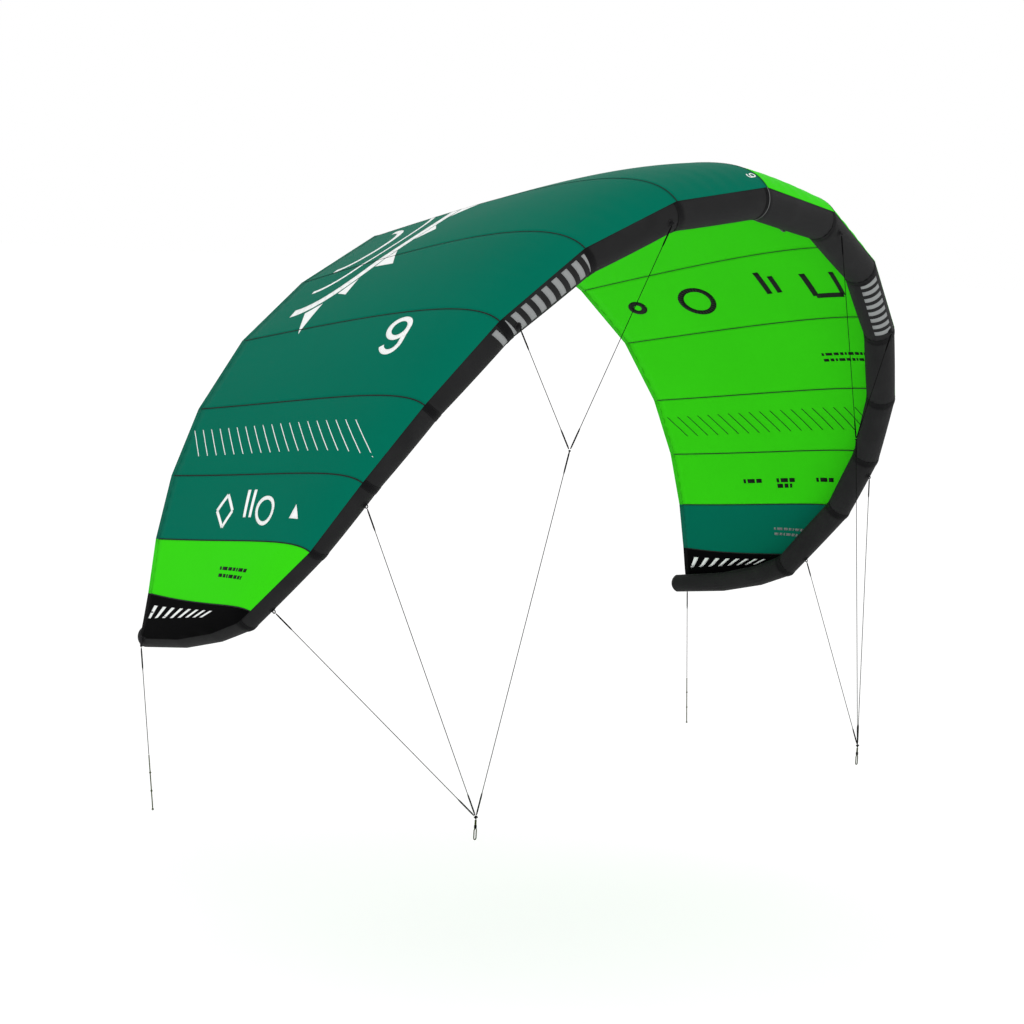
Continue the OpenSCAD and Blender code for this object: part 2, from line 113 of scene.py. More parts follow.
def grid_faces(rows, cols, wrap=False, flip=False):
    """Quads of a grid of points. wrap joins the last column to the first."""
    faces = []
    for r in range(rows - 1):
        for c in range(cols if wrap else cols - 1):
            d = (c + 1) % cols
            quad = (r * cols + c, r * cols + d, (r + 1) * cols + d, (r + 1) * cols + c)
            faces.append(quad[::-1] if flip else quad)
    return faces


def grid_piece(name, points, uv, wrap=False, flip=False):
    rows, cols = points.shape[:2]
    return mesh_piece(name, points.reshape(-1, 3), grid_faces(rows, cols, wrap, flip), uv.reshape(-1, 2))


def strip_uv(across, along):
    """UVs of a grid of points, in metres: across runs over its columns and along down its rows."""
    return np.stack(np.broadcast_arrays(np.asarray(across)[None, :], np.asarray(along)[:, None]), axis=-1)


def paint(obj, material):
    obj.data.materials.clear()
    obj.data.materials.append(material)
    return obj


def dress(obj, material, body="wing", thickness=None):
    """Gives a piece its material and CAD body. A skin with a thickness becomes a closed solid."""
    if thickness is not None:
        modifier = obj.modifiers.new("thickness", "SOLIDIFY")
        modifier.thickness = thickness
        modifier.offset = 0.0
    paint(obj, material)
    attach(obj, body)
    return obj


# %% [markdown]
# ## Shared effects
# Cloth, tape, webbing and cord are all woven, at different scales. Each effect is built once, as a node
# group with named inputs, and every material sets its own values. A group puts out only heights and masks.

# %% Node helpers
def group(name, inputs, outputs):
    tree = bpy.data.node_groups.new(name, "ShaderNodeTree")
    for label, kind, value in inputs:
        socket = tree.interface.new_socket(name=label, in_out="INPUT", socket_type=kind)
        if value is not None:
            socket.default_value = value
    for label in outputs:
        tree.interface.new_socket(name=label, in_out="OUTPUT", socket_type="NodeSocketFloat")
    return tree, tree.nodes.new("NodeGroupInput"), tree.nodes.new("NodeGroupOutput")


def math_node(tree, operation, a, b=None, c=None):
    """A Math node fed by numbers or sockets; returns its output."""
    node = tree.nodes.new("ShaderNodeMath")
    node.operation = operation
    for i, value in enumerate((a, b, c)):
        if value is None:
            continue
        if isinstance(value, (int, float)):
            node.inputs[i].default_value = value
        else:
            tree.links.new(value, node.inputs[i])
    return node.outputs[0]


def split_vector(tree, vector):
    node = tree.nodes.new("ShaderNodeSeparateXYZ")
    tree.links.new(vector, node.inputs[0])
    return node.outputs[0], node.outputs[1]


def noise(tree, vector, scale, detail=3.0):
    node = tree.nodes.new("ShaderNodeTexNoise")
    node.inputs["Scale"].default_value = scale
    node.inputs["Detail"].default_value = detail
    tree.links.new(vector, node.inputs["Vector"])
    return node.outputs[0]


def object_place(tree):
    """The shaded point's place in its own object, so that an effect stays with its piece."""
    return tree.nodes.new("ShaderNodeTexCoord").outputs["Object"]


def wave(tree, coordinate, turn):
    return math_node(tree, "SINE", math_node(tree, "MULTIPLY", coordinate, turn))


def near_line(tree, coordinate, pitch, width):
    """1 on lines that repeat every pitch along coordinate, width wide, and 0 between them."""
    return math_node(tree, "LESS_THAN", math_node(tree, "PINGPONG", coordinate, pitch), width)


# %% Ripstop: fine plain weave with a stronger double thread every few millimetres
FINE_TURN = 12000.0


def ripstop_group():
    tree, inp, out = group(
        "ripstop",
        [
            ("Vector", "NodeSocketVector", None),
            ("Pitch", "NodeSocketFloat", 0.0025),
            ("Thread", "NodeSocketFloat", 0.0004),
        ],
        ["Grid", "Height", "Mottle"],
    )
    u, v = split_vector(tree, inp.outputs["Vector"])
    pitch, thread = inp.outputs["Pitch"], inp.outputs["Thread"]
    grid = math_node(tree, "MAXIMUM", near_line(tree, u, pitch, thread), near_line(tree, v, pitch, thread))
    weave = math_node(tree, "MULTIPLY", wave(tree, u, FINE_TURN), wave(tree, v, FINE_TURN))
    height = math_node(tree, "MULTIPLY_ADD", weave, 0.2, grid)
    place = object_place(tree)
    soft = math_node(tree, "MULTIPLY", noise(tree, place, 3.0), 0.7)
    fine = math_node(tree, "MULTIPLY", noise(tree, place, 40.0), 0.3)
    mottle = math_node(tree, "ADD", soft, fine)
    tree.links.new(grid, out.inputs["Grid"])
    tree.links.new(height, out.inputs["Height"])
    tree.links.new(mottle, out.inputs["Mottle"])
    return tree


RIPSTOP = ripstop_group()


# %% Coarse weave: over and under threads, for woven sleeve cloth, tape and webbing
def weave_group():
    tree, inp, out = group(
        "coarse_weave",
        [("Vector", "NodeSocketVector", None), ("Thread pitch", "NodeSocketFloat", 0.001)],
        ["Height", "Mottle"],
    )
    u, v = split_vector(tree, inp.outputs["Vector"])
    turn = math_node(tree, "DIVIDE", math.pi, inp.outputs["Thread pitch"])
    crossed = math_node(tree, "MULTIPLY", wave(tree, u, turn), wave(tree, v, turn))
    height = math_node(tree, "ABSOLUTE", crossed)
    mottle = noise(tree, object_place(tree), 9.0, 5.0)
    tree.links.new(height, out.inputs["Height"])
    tree.links.new(mottle, out.inputs["Mottle"])
    return tree


WEAVE = weave_group()


# %% Stitches: two rows of short threads along a strip, for everything that is sewn
def stitch_group():
    tree, inp, out = group(
        "stitches",
        [
            ("Vector", "NodeSocketVector", None),
            ("Row place", "NodeSocketFloat", 0.003),
            ("Stitch length", "NodeSocketFloat", 0.003),
            ("Thread", "NodeSocketFloat", 0.0004),
        ],
        ["Mask"],
    )
    across, along = split_vector(tree, inp.outputs["Vector"])
    from_row = math_node(tree, "SUBTRACT", math_node(tree, "ABSOLUTE", across), inp.outputs["Row place"])
    on_row = math_node(tree, "LESS_THAN", math_node(tree, "ABSOLUTE", from_row), inp.outputs["Thread"])
    dash = math_node(tree, "PINGPONG", along, inp.outputs["Stitch length"])
    gap = math_node(tree, "MULTIPLY", inp.outputs["Stitch length"], 0.3)
    on_dash = math_node(tree, "GREATER_THAN", dash, gap)
    tree.links.new(math_node(tree, "MULTIPLY", on_row, on_dash), out.inputs["Mask"])
    return tree


STITCHES = stitch_group()


# %% Wear: soft scuffs that lighten cloth, cord and plastic in places
def wear_group():
    tree, inp, out = group(
        "wear",
        [("Scale", "NodeSocketFloat", 6.0), ("Amount", "NodeSocketFloat", 0.5)],
        ["Mask"],
    )
    node = tree.nodes.new("ShaderNodeTexNoise")
    node.inputs["Detail"].default_value = 8.0
    node.inputs["Roughness"].default_value = 0.65
    tree.links.new(object_place(tree), node.inputs["Vector"])
    tree.links.new(inp.outputs["Scale"], node.inputs["Scale"])
    peak = math_node(tree, "SUBTRACT", node.outputs[0], 0.52)
    mask = math_node(tree, "MULTIPLY", math_node(tree, "MULTIPLY", peak, 6.0), inp.outputs["Amount"])
    clamped = math_node(tree, "MINIMUM", math_node(tree, "MAXIMUM", mask, 0.0), 1.0)
    tree.links.new(clamped, out.inputs["Mask"])
    return tree


WEAR = wear_group()


# %% Material helpers
def new_material(name, roughness, sheen=0.0, coat=0.0, specular=0.5):
    material = bpy.data.materials.new(name)
    material.use_nodes = True
    tree = material.node_tree
    shader = next(n for n in tree.nodes if n.type == "BSDF_PRINCIPLED")
    shader.inputs["Roughness"].default_value = roughness
    shader.inputs["Sheen Weight"].default_value = sheen
    shader.inputs["Sheen Roughness"].default_value = 0.4
    shader.inputs["Coat Weight"].default_value = coat
    shader.inputs["Coat Roughness"].default_value = 0.25
    shader.inputs["Specular IOR Level"].default_value = specular
    return material, tree, shader


def use_group(tree, node_group, vector=None, **values):
    node = tree.nodes.new("ShaderNodeGroup")
    node.node_tree = node_group
    for label, value in values.items():
        node.inputs[label.replace("_", " ")].default_value = value
    if vector is not None:
        tree.links.new(vector, node.inputs["Vector"])
    return node


def cut_map(tree):
    node = tree.nodes.new("ShaderNodeUVMap")
    node.uv_map = "cut"
    return node.outputs[0]


def mix_colors(tree, factor, a, b):
    """Colour a where factor is 0 and b where it is 1; a and b are colours or sockets."""
    node = tree.nodes.new("ShaderNodeMix")
    node.data_type = "RGBA"
    tree.links.new(factor, node.inputs["Factor"])
    for socket, value in ((node.inputs[6], a), (node.inputs[7], b)):
        if isinstance(value, tuple):
            socket.default_value = (*value, 1.0)
        else:
            tree.links.new(value, socket)
    return node.outputs[2]


def set_range(tree, factor, low, high):
    node = tree.nodes.new("ShaderNodeMapRange")
    node.inputs["To Min"].default_value = low
    node.inputs["To Max"].default_value = high
    tree.links.new(factor, node.inputs["Value"])
    return node.outputs[0]


def add_bump(tree, shader, height, distance, strength=1.0):
    bump = tree.nodes.new("ShaderNodeBump")
    bump.inputs["Strength"].default_value = strength
    bump.inputs["Distance"].default_value = distance
    tree.links.new(height, bump.inputs["Height"])
    tree.links.new(bump.outputs[0], shader.inputs["Normal"])


def shaded(color, amount):
    return tuple(c * amount for c in color)


# %% [markdown]
# ## Cord materials
# Bridle lines are braided, thin and dark. The loops that are touched by hand are thicker and olive.
# A braid is two sets of threads that cross at a slant, so its height is the larger of two slanted waves.

# %% Cord materials
def cord_material(name, color, thread):
    material, tree, shader = new_material(name, 0.75, specular=0.04)
    separate = tree.nodes.new("ShaderNodeSeparateXYZ")
    tree.links.new(object_place(tree), separate.inputs[0])
    flat = math_node(tree, "ADD", separate.outputs[0], separate.outputs[1])
    turn = math.pi / thread
    left = wave(tree, math_node(tree, "ADD", separate.outputs[2], flat), turn)
    right = wave(tree, math_node(tree, "SUBTRACT", separate.outputs[2], flat), turn)
    height = math_node(tree, "MAXIMUM", left, right)
    wear = use_group(tree, WEAR, Scale=30.0, Amount=0.4)
    # Painted shade: the grooves between the braid's strands are painted darker than its crests.
    base = mix_colors(tree, set_range(tree, height, 0.0, 1.0), shaded(color, 0.6), color)
    worn = mix_colors(tree, wear.outputs["Mask"], base, shaded(color, 2.0))
    tree.links.new(worn, shader.inputs["Base Color"])
    add_bump(tree, shader, height, 0.0004)
    return material


LINE_BLACK = cord_material("line_braid", (0.004, 0.0045, 0.0042), 0.0011)
SLEEVE_BLACK = cord_material("sleeve_braid", (0.002, 0.002, 0.0022), 0.0016)
OLIVE_BRAID = cord_material("olive_braid", (0.045, 0.058, 0.016), 0.0016)

# %% [markdown]
# ## Bridle lines
# When the kite is held up and pulls, its bridle lines are straight. Two front lines meet at a knot, and one
# line runs on from there to the junction, where two more lines from nearer the wing tip join it. Each line is
# a curve with a round section. The points are the ones that the CAD part uses.

# %% Bridle routes, on the right side
BRIDLE_Y = np.array([1.030, 0.100, -1.075])
BRIDLE_K = np.array([1.370, 0.220, -2.585])
TAB_EYES = {
    "a": (0.6090, -0.0444, -0.1249),
    "b": (1.3314, 0.1378, -0.5710),
    "c": (1.7779, 0.5190, -1.3150),
    "d": (1.8693, 0.9375, -1.7874),
}
LINE_D = 0.0032
COVER_D = 0.0066
LOOP_D = 0.005
LINE_POINTS = 24
EYE_CLEAR = 0.0096
JUNCTION_CLEAR = 0.0092
COVER_L = 0.095
COVER_CLEAR = 0.0096
SIDES = {"left": np.array([-1.0, 1.0, 1.0]), "right": np.array([1.0, 1.0, 1.0])}


def curve_piece(name, points, diameter, material, radii=None, cyclic=False, sides=4):
    """Round cord along points. radii are shares of the diameter, point by point."""
    data = bpy.data.curves.new(name, "CURVE")
    data.dimensions = "3D"
    data.bevel_depth = diameter / 2
    data.bevel_resolution = sides
    data.use_fill_caps = True
    spline = data.splines.new("POLY")
    spline.points.add(len(points) - 1)
    for i, p in enumerate(points):
        spline.points[i].co = (*map(float, p), 1.0)
        spline.points[i].radius = 1.0 if radii is None else float(radii[i])
    spline.use_cyclic_u = cyclic
    spline.use_smooth = True
    return paint(link(bpy.data.objects.new(name, data)), material)


def straight(start, end, count=LINE_POINTS):
    return [start + (end - start) * i / (count - 1) for i in range(count)]


def route_length(points):
    return float(sum(np.linalg.norm(b - a) for a, b in zip(points, points[1:])))


# %% Knots: a trefoil is the centre line of a plain overhand knot
def knot_piece(name, centre, size, cord_d, material, body):
    """Overhand knot about size across, pulled down on its cord."""
    t = 2 * math.pi * np.arange(48) / 48
    trefoil = [np.sin(t) + 2 * np.sin(2 * t), -1.6 * np.sin(3 * t), np.cos(t) - 2 * np.cos(2 * t)]
    # The trefoil is six units across
    points = np.asarray(centre) + (size - cord_d) / 6 * np.stack(trefoil, axis=1)
    return dress(curve_piece(name, points, cord_d, material, cyclic=True, sides=3), material, body)


def cover_piece(name, start, end, place, body="wing", length=COVER_L, diameter=COVER_D):
    """Dark braided cover over a stretch of a line, that begins place metres from start, towards end."""
    along = unit(end - start)
    points = straight(start + along * place, start + along * (place + length), 12)
    taper = [0.62, 0.9] + [1] * 8 + [0.9, 0.62]
    return dress(curve_piece(name, points, diameter, SLEEVE_BLACK, taper), SLEEVE_BLACK, body)


# %% Bridle lines on both sides
def bridle_line(side, name, start, end, gap):
    """One line, from gap metres past its start to just short of its end, with a cover at each end."""
    start, end = np.asarray(start) * SIDES[side], np.asarray(end) * SIDES[side]
    along = unit(end - start)
    points = straight(start + along * gap, end - along * JUNCTION_CLEAR)
    line = curve_piece(f"{side}_bridle_{name}", points, LINE_D, LINE_BLACK, sides=3)
    pair = [
        cover_piece(f"{side}_cover_{name}_top", start, end, gap + 0.002),
        cover_piece(f"{side}_cover_{name}_low", end, start, COVER_CLEAR),
    ]
    dress(line, LINE_BLACK)
    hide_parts(f"{side}_line_{name}")
    return pair


covers = []
for side, mirror in SIDES.items():
    y_knot = knot_piece(f"{side}_bridle_knot", BRIDLE_Y * mirror, 0.012, LINE_D, LINE_BLACK, "wing")
    for name, meet in (("a", BRIDLE_Y), ("b", BRIDLE_Y), ("c", BRIDLE_K), ("d", BRIDLE_K)):
        covers += bridle_line(side, name, TAB_EYES[name], meet, EYE_CLEAR)
    covers += bridle_line(side, "main", BRIDLE_Y, BRIDLE_K, 0.0)
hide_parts("line_sleeves")
print("bridle lines", len(covers) // 2, "covers", len(covers))

# %% [markdown]
# ## Front loops
# The flying line is hitched to a loop of thick olive cord. The loop hangs from a knot on the bridle, so it
# swings on its own body. Its centre line goes down one side and up the other, like a long drop.

# %% Front loops
LOOP_PIVOT = BRIDLE_K - np.array([0, 0, 0.0106])
STRAND_X = 0.0027
LOOP_HALF_W = 0.0068
BEND_TOP = 0.041
BEND_LOW = 0.075
STEM_START = -0.0008
WHIP_START, WHIP_L, WHIP_D = 0.020, 0.016, 0.0118
HITCH_SIZE, HITCH_CORD_D = 0.018, 0.0042


def loop_points(pivot):
    """Down one strand of the stem, round the open loop, and up the other strand."""
    points = [(-STRAND_X, -z) for z in np.linspace(STEM_START, BEND_TOP - 0.008, 7)]
    points += [(-LOOP_HALF_W, -z) for z in np.linspace(BEND_TOP + 0.002, BEND_LOW, 6)]
    turns = np.radians(range(195, 350, 15))
    points += [(LOOP_HALF_W * math.cos(a), LOOP_HALF_W * math.sin(a) - BEND_LOW) for a in turns]
    points += [(-x, z) for x, z in points[12::-1]]
    return [pivot + np.array([x, 0, z]) for x, z in points]


for side in SIDES:
    pivot = LOOP_PIVOT * SIDES[side]
    points = loop_points(pivot)
    body = f"{side}_front_loop"
    loop = curve_piece(f"{side}_front_cord_loop", points, LOOP_D, OLIVE_BRAID)
    whipping = cover_piece(
        f"{side}_loop_whipping", pivot, pivot - np.array([0, 0, 1.0]), WHIP_START, body, WHIP_L, WHIP_D
    )
    hitch_body = f"{side}_front_hitch"
    hitch_place = BRIDLE_K * SIDES[side]
    hitch = knot_piece(
        f"{side}_hitch_knot", hitch_place, HITCH_SIZE, HITCH_CORD_D, SLEEVE_BLACK, hitch_body
    )
    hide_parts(hitch_body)
    dress(loop, OLIVE_BRAID, body)
    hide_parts(body)
print("front loops", 2, "each of", round(route_length(loop_points(LOOP_PIVOT)), 3), "m of cord")

# %% [markdown]
# ## Rear lines
# A thin line hangs below each wing tip and ends in thicker cord with three knots. The rider hitches the
# flying line above one of the knots to trim the kite. The whole line hangs from a short strap.

# %% Rear lines
REAR_PIVOT = np.array([1.900667, 1.725383, -2.039293])
REAR_PULL = unit((-0.05, -0.1, -1))
REAR_LINE_L = 0.465
KNOT_PITCH = 0.080
KNOT_SIZE = 0.0108
KNOT_CORD_D = 0.004
for side in SIDES:
    body = f"{side}_rear_pigtail"
    top = REAR_PIVOT * SIDES[side]
    pull = REAR_PULL * SIDES[side]
    thin_end = top + pull * REAR_LINE_L
    knot_places = [thin_end + pull * KNOT_PITCH * i for i in (1, 2, 3)]
    thin_points = straight(top, thin_end)
    thick_points = straight(thin_end + pull * 0.002, knot_places[-1])
    thin = curve_piece(f"{side}_rear_line", thin_points, LINE_D, LINE_BLACK, sides=3)
    thick = curve_piece(f"{side}_rear_knot_cord", thick_points, LOOP_D, OLIVE_BRAID)
    cover_top = cover_piece(f"{side}_rear_cover", top, thin_end, 0.002, body)
    knots = [
        knot_piece(f"{side}_rear_knot_{i}", place, KNOT_SIZE, KNOT_CORD_D, OLIVE_BRAID, body)
        for i, place in enumerate(knot_places)
    ]
    dress(thin, LINE_BLACK, body)
    dress(thick, OLIVE_BRAID, body)
    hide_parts(body)
print("rear lines", REAR_LINE_L + 3 * KNOT_PITCH, "m each")

# %% [markdown]
# ## The wing's lines
# A sail maker draws a kite from two curves: the axis of the inflated tube and the trailing edge.
# At each seam a chordwise line joins them. Station 0 is the centre, 1 to 7 are the seams, 8 to 10 the tip.
# The lists repeat the CAD part's own values, as shares of the half span and the arch's drop.

# %% Stations
HALF_SPAN, ARCH_DROP, ROOT_CHORD = 1.890, 2.000, 1.805
TUBE_D_ROOT, TUBE_D_WING, TUBE_D_END = 0.168, 0.112, 0.090
LAST_SEAM, LAST = 7, 10
TUBE_SPAN = [0, 0.29, 0.53, 0.72, 0.855, 0.935, 0.975, 1, 0.998, 0.99, 0.978]
TUBE_DROP = [0, 0.04, 0.143, 0.288, 0.453, 0.607, 0.75, 0.915, 0.95, 0.98, 1]
TUBE_SWEEP = [0, 0.035, 0.115, 0.230, 0.370, 0.540, 0.740, 1.080, 1.245, 1.470, 1.755]
EDGE_SPAN = [0, 0.27, 0.515, 0.705, 0.838, 0.918, 0.963, 0.985, 0.992, 0.998, 1.004]
EDGE_DROP = [0.074, 0.115, 0.228, 0.36, 0.509, 0.652, 0.787, 0.903, 0.938, 0.967, 0.992]
SEWN_ANGLE = [56, 55, 50, 50, 48, 44, 40, 26, 15, 10, 5]
LIFT_RUN = [0.265, 0.240, 0.200, 0.150, 0.122, 0.105, 0.092, 0.072, 0.040, 0.025, 0.010]
LIFT_RISE = [0.190, 0.180, 0.160, 0.112, 0.065, 0.035, 0.027, 0.022, 0.018, 0.012, 0]
EDGE_SWEEP = 0.068
TIP_SETBACK = 0.060
RISE_PLACE = 0.38
CLOTH_LIFT = 0.0045
TAPE_W = 0.022
PANEL_BULGE = 0.016
MIRROR = SIDES["left"]

AXIS = np.array([[HALF_SPAN * s, y, -ARCH_DROP * d] for s, y, d in zip(TUBE_SPAN, TUBE_SWEEP, TUBE_DROP)])
EDGE = np.array(
    [
        [HALF_SPAN * s, ROOT_CHORD - EDGE_SWEEP * min(i, LAST_SEAM) / LAST_SEAM, -ARCH_DROP * d]
        for i, (s, d) in enumerate(zip(EDGE_SPAN, EDGE_DROP))
    ]
)
ALONG = [unit(AXIS[i + 1] - AXIS[i]) for i in range(LAST)]
CUT = [np.array([1.0, 0, 0])] + [unit(ALONG[i - 1] + ALONG[i]) for i in range(1, LAST)] + [ALONG[-1]]


def tube_radius(i):
    if i <= LAST_SEAM:
        return (TUBE_D_ROOT + (TUBE_D_WING - TUBE_D_ROOT) * i / LAST_SEAM) / 2
    return (TUBE_D_WING + (TUBE_D_END - TUBE_D_WING) * (i - LAST_SEAM) / (LAST - LAST_SEAM)) / 2


def square_to(v, axis):
    return unit(v - axis * (v @ axis))


# Past the last seam the chord turns too much to be used, so a steady direction takes its place
TIP_CHORD = np.array([0, 0.3, 1.0])
CHORDS = [EDGE[i] - AXIS[i] if i <= LAST_SEAM else TIP_CHORD for i in range(LAST + 1)]
BACK = [square_to(chord, cut) for chord, cut in zip(CHORDS, CUT)]
OUT = [np.cross(CUT[i], BACK[i]) for i in range(LAST + 1)]


def turned(i, angle):
    """Direction at station i, angle degrees from straight outwards towards the front."""
    a = math.radians(angle)
    return math.cos(a) * OUT[i] - math.sin(a) * BACK[i]


# %% [markdown]
# ## The cloth's surface
# Each chordwise line is a Bezier curve. It leaves the tube where the cloth is sewn on, runs straight off it,
# rises to the camber and comes down to the hem. Between two lines the cloth is blown out a little.

# %% Cloth surface
def profile_controls(i):
    start = AXIS[i] if i < LAST else AXIS[i] - ALONG[-1] * TIP_SETBACK
    sewn = start + (tube_radius(i) + CLOTH_LIFT) * turned(i, SEWN_ANGLE[i])
    hem = EDGE[i] - unit(EDGE[i] - sewn) * (TAPE_W if i < LAST else TAPE_W / 2)
    run = turned(i, SEWN_ANGLE[i] - 90)
    chord_start = AXIS[i] if i <= LAST_SEAM else sewn
    rise = chord_start + (hem - chord_start) * RISE_PLACE + LIFT_RISE[i] * OUT[i]
    return np.array([sewn, sewn + LIFT_RUN[i] * run, rise, hem])


PROFILES = [profile_controls(i) for i in range(LAST + 1)]


def profile(i, t):
    t = np.asarray(t, float)[..., None]
    a, b, c, d = PROFILES[i]
    return a * (1 - t) ** 3 + b * 3 * t * (1 - t) ** 2 + c * 3 * t * t * (1 - t) + d * t**3


def cloth_point(u, t):
    """Point on the cloth at station u (fractions allowed, negative on the other side) and chord place t."""
    if u < 0:
        return cloth_point(-u, t) * MIRROR
    i = min(int(u), LAST - 1)
    f = u - i
    bulge = PANEL_BULGE * (4 * f * (1 - f) if i < LAST_SEAM else 0) * np.sin(np.pi * np.asarray(t, float))
    out = unit(OUT[i] * (1 - f) + OUT[i + 1] * f)
    return profile(i, t) * (1 - f) + profile(i + 1, t) * f + bulge[..., None] * out


def cloth_normal(u, t):
    t = np.asarray(t, float)
    across = cloth_point(min(u + 0.02, LAST), t) - cloth_point(u - 0.02, t)
    down = cloth_point(u, np.minimum(t + 0.01, 1)) - cloth_point(u, np.maximum(t - 0.01, 0))
    n = np.cross(across, down)
    return n / np.linalg.norm(n, axis=-1, keepdims=True)


def lengths_along(points):
    """Running length along each row of points, starting at 0."""
    steps = np.linalg.norm(np.diff(points, axis=-2), axis=-1)
    return np.concatenate([np.zeros(steps.shape[:-1] + (1,)), np.cumsum(steps, axis=-1)], axis=-1)


print("chord at the centre", round(float(lengths_along(profile(0, np.linspace(0, 1, 60)))[-1]), 3), "m")

# %% [markdown]
# ## Cloth materials
# The canopy is coated ripstop: bright, a little glossy, with a square grid of stronger threads.
# The grid is only a few millimetres wide, so from far away it melts into a soft sheen.

# %% Cloth materials
DARK_GREEN = (0.0004, 0.132, 0.083)
LIME = (0.034, 0.600, 0.006)
TIP_BLACK = (0.0018, 0.0018, 0.002)


def ripstop_material(name, color, roughness):
    material, tree, shader = new_material(name, roughness, specular=0.012)
    cloth = use_group(tree, RIPSTOP, cut_map(tree), Pitch=0.0025, Thread=0.0003)
    mottle = cloth.outputs["Mottle"]
    base = mix_colors(tree, set_range(tree, mottle, 0.0, 1.0), shaded(color, 0.93), shaded(color, 1.07))
    # Painted highlight: the raised threads of the grid are painted a little lighter, where light would catch
    # them.
    threads = mix_colors(tree, set_range(tree, cloth.outputs["Grid"], 0.0, 0.22), base, shaded(color, 1.3))
    tree.links.new(threads, shader.inputs["Base Color"])
    tree.links.new(set_range(tree, mottle, roughness - 0.06, roughness + 0.08), shader.inputs["Roughness"])
    add_bump(tree, shader, cloth.outputs["Height"], 0.00012, 0.6)
    return material


CLOTH = {
    "dark_green_cloth": ripstop_material("dark_green_ripstop", DARK_GREEN, 0.5),
    "lime_cloth": ripstop_material("lime_ripstop", LIME, 0.5),
    "tip_cloth": ripstop_material("black_ripstop", TIP_BLACK, 0.55),
}

# %% [markdown]
# ## Canopy panels
# Each panel is one piece of cloth, cut to its own outline and sewn to its neighbours. It is made as a fine
# grid on the cloth surface. Small pulls run off the tube, where the cloth is stretched over each segment.

# %% Canopy panels
PANEL_COLS = 65
PANEL_ROWS = 25
TIP_ROWS = 49
TIP_PANEL = 8
CLOTH_T = 0.0005
PULL_HEIGHT = 0.0018
SEAM_LEAN = 0.17
# The tip is nearly a triangle, so it is cut from a strip with about this many times its area
TIP_FILL = 1.8


def panel_range(k):
    return (k - 1, k) if k < TIP_PANEL else (LAST_SEAM, LAST)


def panel_slot(side, k):
    if k == TIP_PANEL:
        return "tip_cloth"
    return "dark_green_cloth" if (side == "left") == (k < 7) else "lime_cloth"


def pulls(f, t, k):
    """Height of the small creases that run off the tube and off the hem, dying out in mid panel."""
    count = 5 + k % 2
    near_tube = t / 0.07 * np.exp(1 - t / 0.07)
    near_hem = 0.5 * np.exp(-(1 - t) / 0.05)
    across = math.sin(math.pi * f) * math.cos(2 * math.pi * count * f + k)
    return PULL_HEIGHT * (near_tube + near_hem) * across


def skin_point(u, t, lift=0.0):
    """Point on the finished cloth, with its creases, lift metres off its middle. u is from 0 to 10."""
    t = np.atleast_1d(np.asarray(t, float))
    k = min(int(u) + 1, TIP_PANEL)
    first, last = panel_range(k)
    height = pulls((u - first) / (last - first), t, k) + lift
    return cloth_point(u, t) + cloth_normal(u, t) * height[:, None]


def seam_station(k, t):
    """Station of seam k at chord place t. The last seam leans, so that the tip is nearly a triangle."""
    return min(k - (SEAM_LEAN * (1 - t) ** 1.5 if k == LAST_SEAM else 0.0), LAST - 1e-6)


def canopy_panel(side, k):
    first, last = panel_range(k)
    t = np.linspace(0, 1, PANEL_COLS) ** 1.15
    points = []
    for f in np.linspace(0, 1, PANEL_ROWS if k < TIP_PANEL else TIP_ROWS):
        stations = [seam_station(first, a) * (1 - f) + seam_station(last, a) * f for a in t]
        if k < LAST_SEAM:
            points.append(skin_point(stations[0], t))
        else:
            points.append(np.array([skin_point(u, a)[0] for u, a in zip(stations, t)]))
    points = np.array(points)
    down = lengths_along(points)
    across = lengths_along(points.transpose(1, 0, 2)).T
    uv = np.stack([across, down], axis=-1)
    piece = grid_piece(f"{side}_canopy_{k}", points * SIDES[side], uv, flip=side == "left")
    area = sum(p.area for p in piece.data.polygons)
    slot = panel_slot(side, k)
    dress(piece, CLOTH[slot], thickness=CLOTH_T)
    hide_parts(f"{side}_panel_{k}")
    if k < TIP_PANEL:
        length, width = float(down.max()), float(across.max())
    else:
        length = float(across.max())
        width = TIP_FILL * area / length
    return area


cloth_area = sum(canopy_panel(side, k) for side in SIDES for k in range(1, TIP_PANEL + 1))
print("sewn cloth", round(cloth_area, 2), "square metres")

# %% [markdown]
# ## Seams
# Two panels are joined by a flat seam under a narrow tape, with a row of stitches along each side.
# The seam tape runs the whole chord on both faces.

# %% Sewn tape material
def tape_material(name, color, row_place, roughness=0.8, thread_color=(0.05, 0.05, 0.05)):
    """Narrow woven tape with a row of stitches near each side. U runs across it from its middle."""
    material, tree, shader = new_material(name, roughness, specular=0.08)
    vector = cut_map(tree)
    weave = use_group(tree, WEAVE, vector, Thread_pitch=0.0009)
    stitches = use_group(tree, STITCHES, vector, Row_place=row_place, Stitch_length=0.002, Thread=0.0004)
    base = mix_colors(tree, weave.outputs["Mottle"], shaded(color, 0.7), shaded(color, 1.35))
    sewn = mix_colors(tree, stitches.outputs["Mask"], base, thread_color)
    tree.links.new(sewn, shader.inputs["Base Color"])
    height = math_node(tree, "SUBTRACT", weave.outputs["Height"], stitches.outputs["Mask"])
    add_bump(tree, shader, height, 0.0002)
    return material


SEAM_TAPE = tape_material("seam_tape", (0.010, 0.013, 0.011), 0.0016)


# %% Seam tapes
SEAM_W = 0.005
SEAM_T = 0.0003
SEAM_LIFT = 0.0007
SEAM_CROWN = 0.00012
SEAM_STEPS = 80
FACES = (("top", 1), ("under", -1))


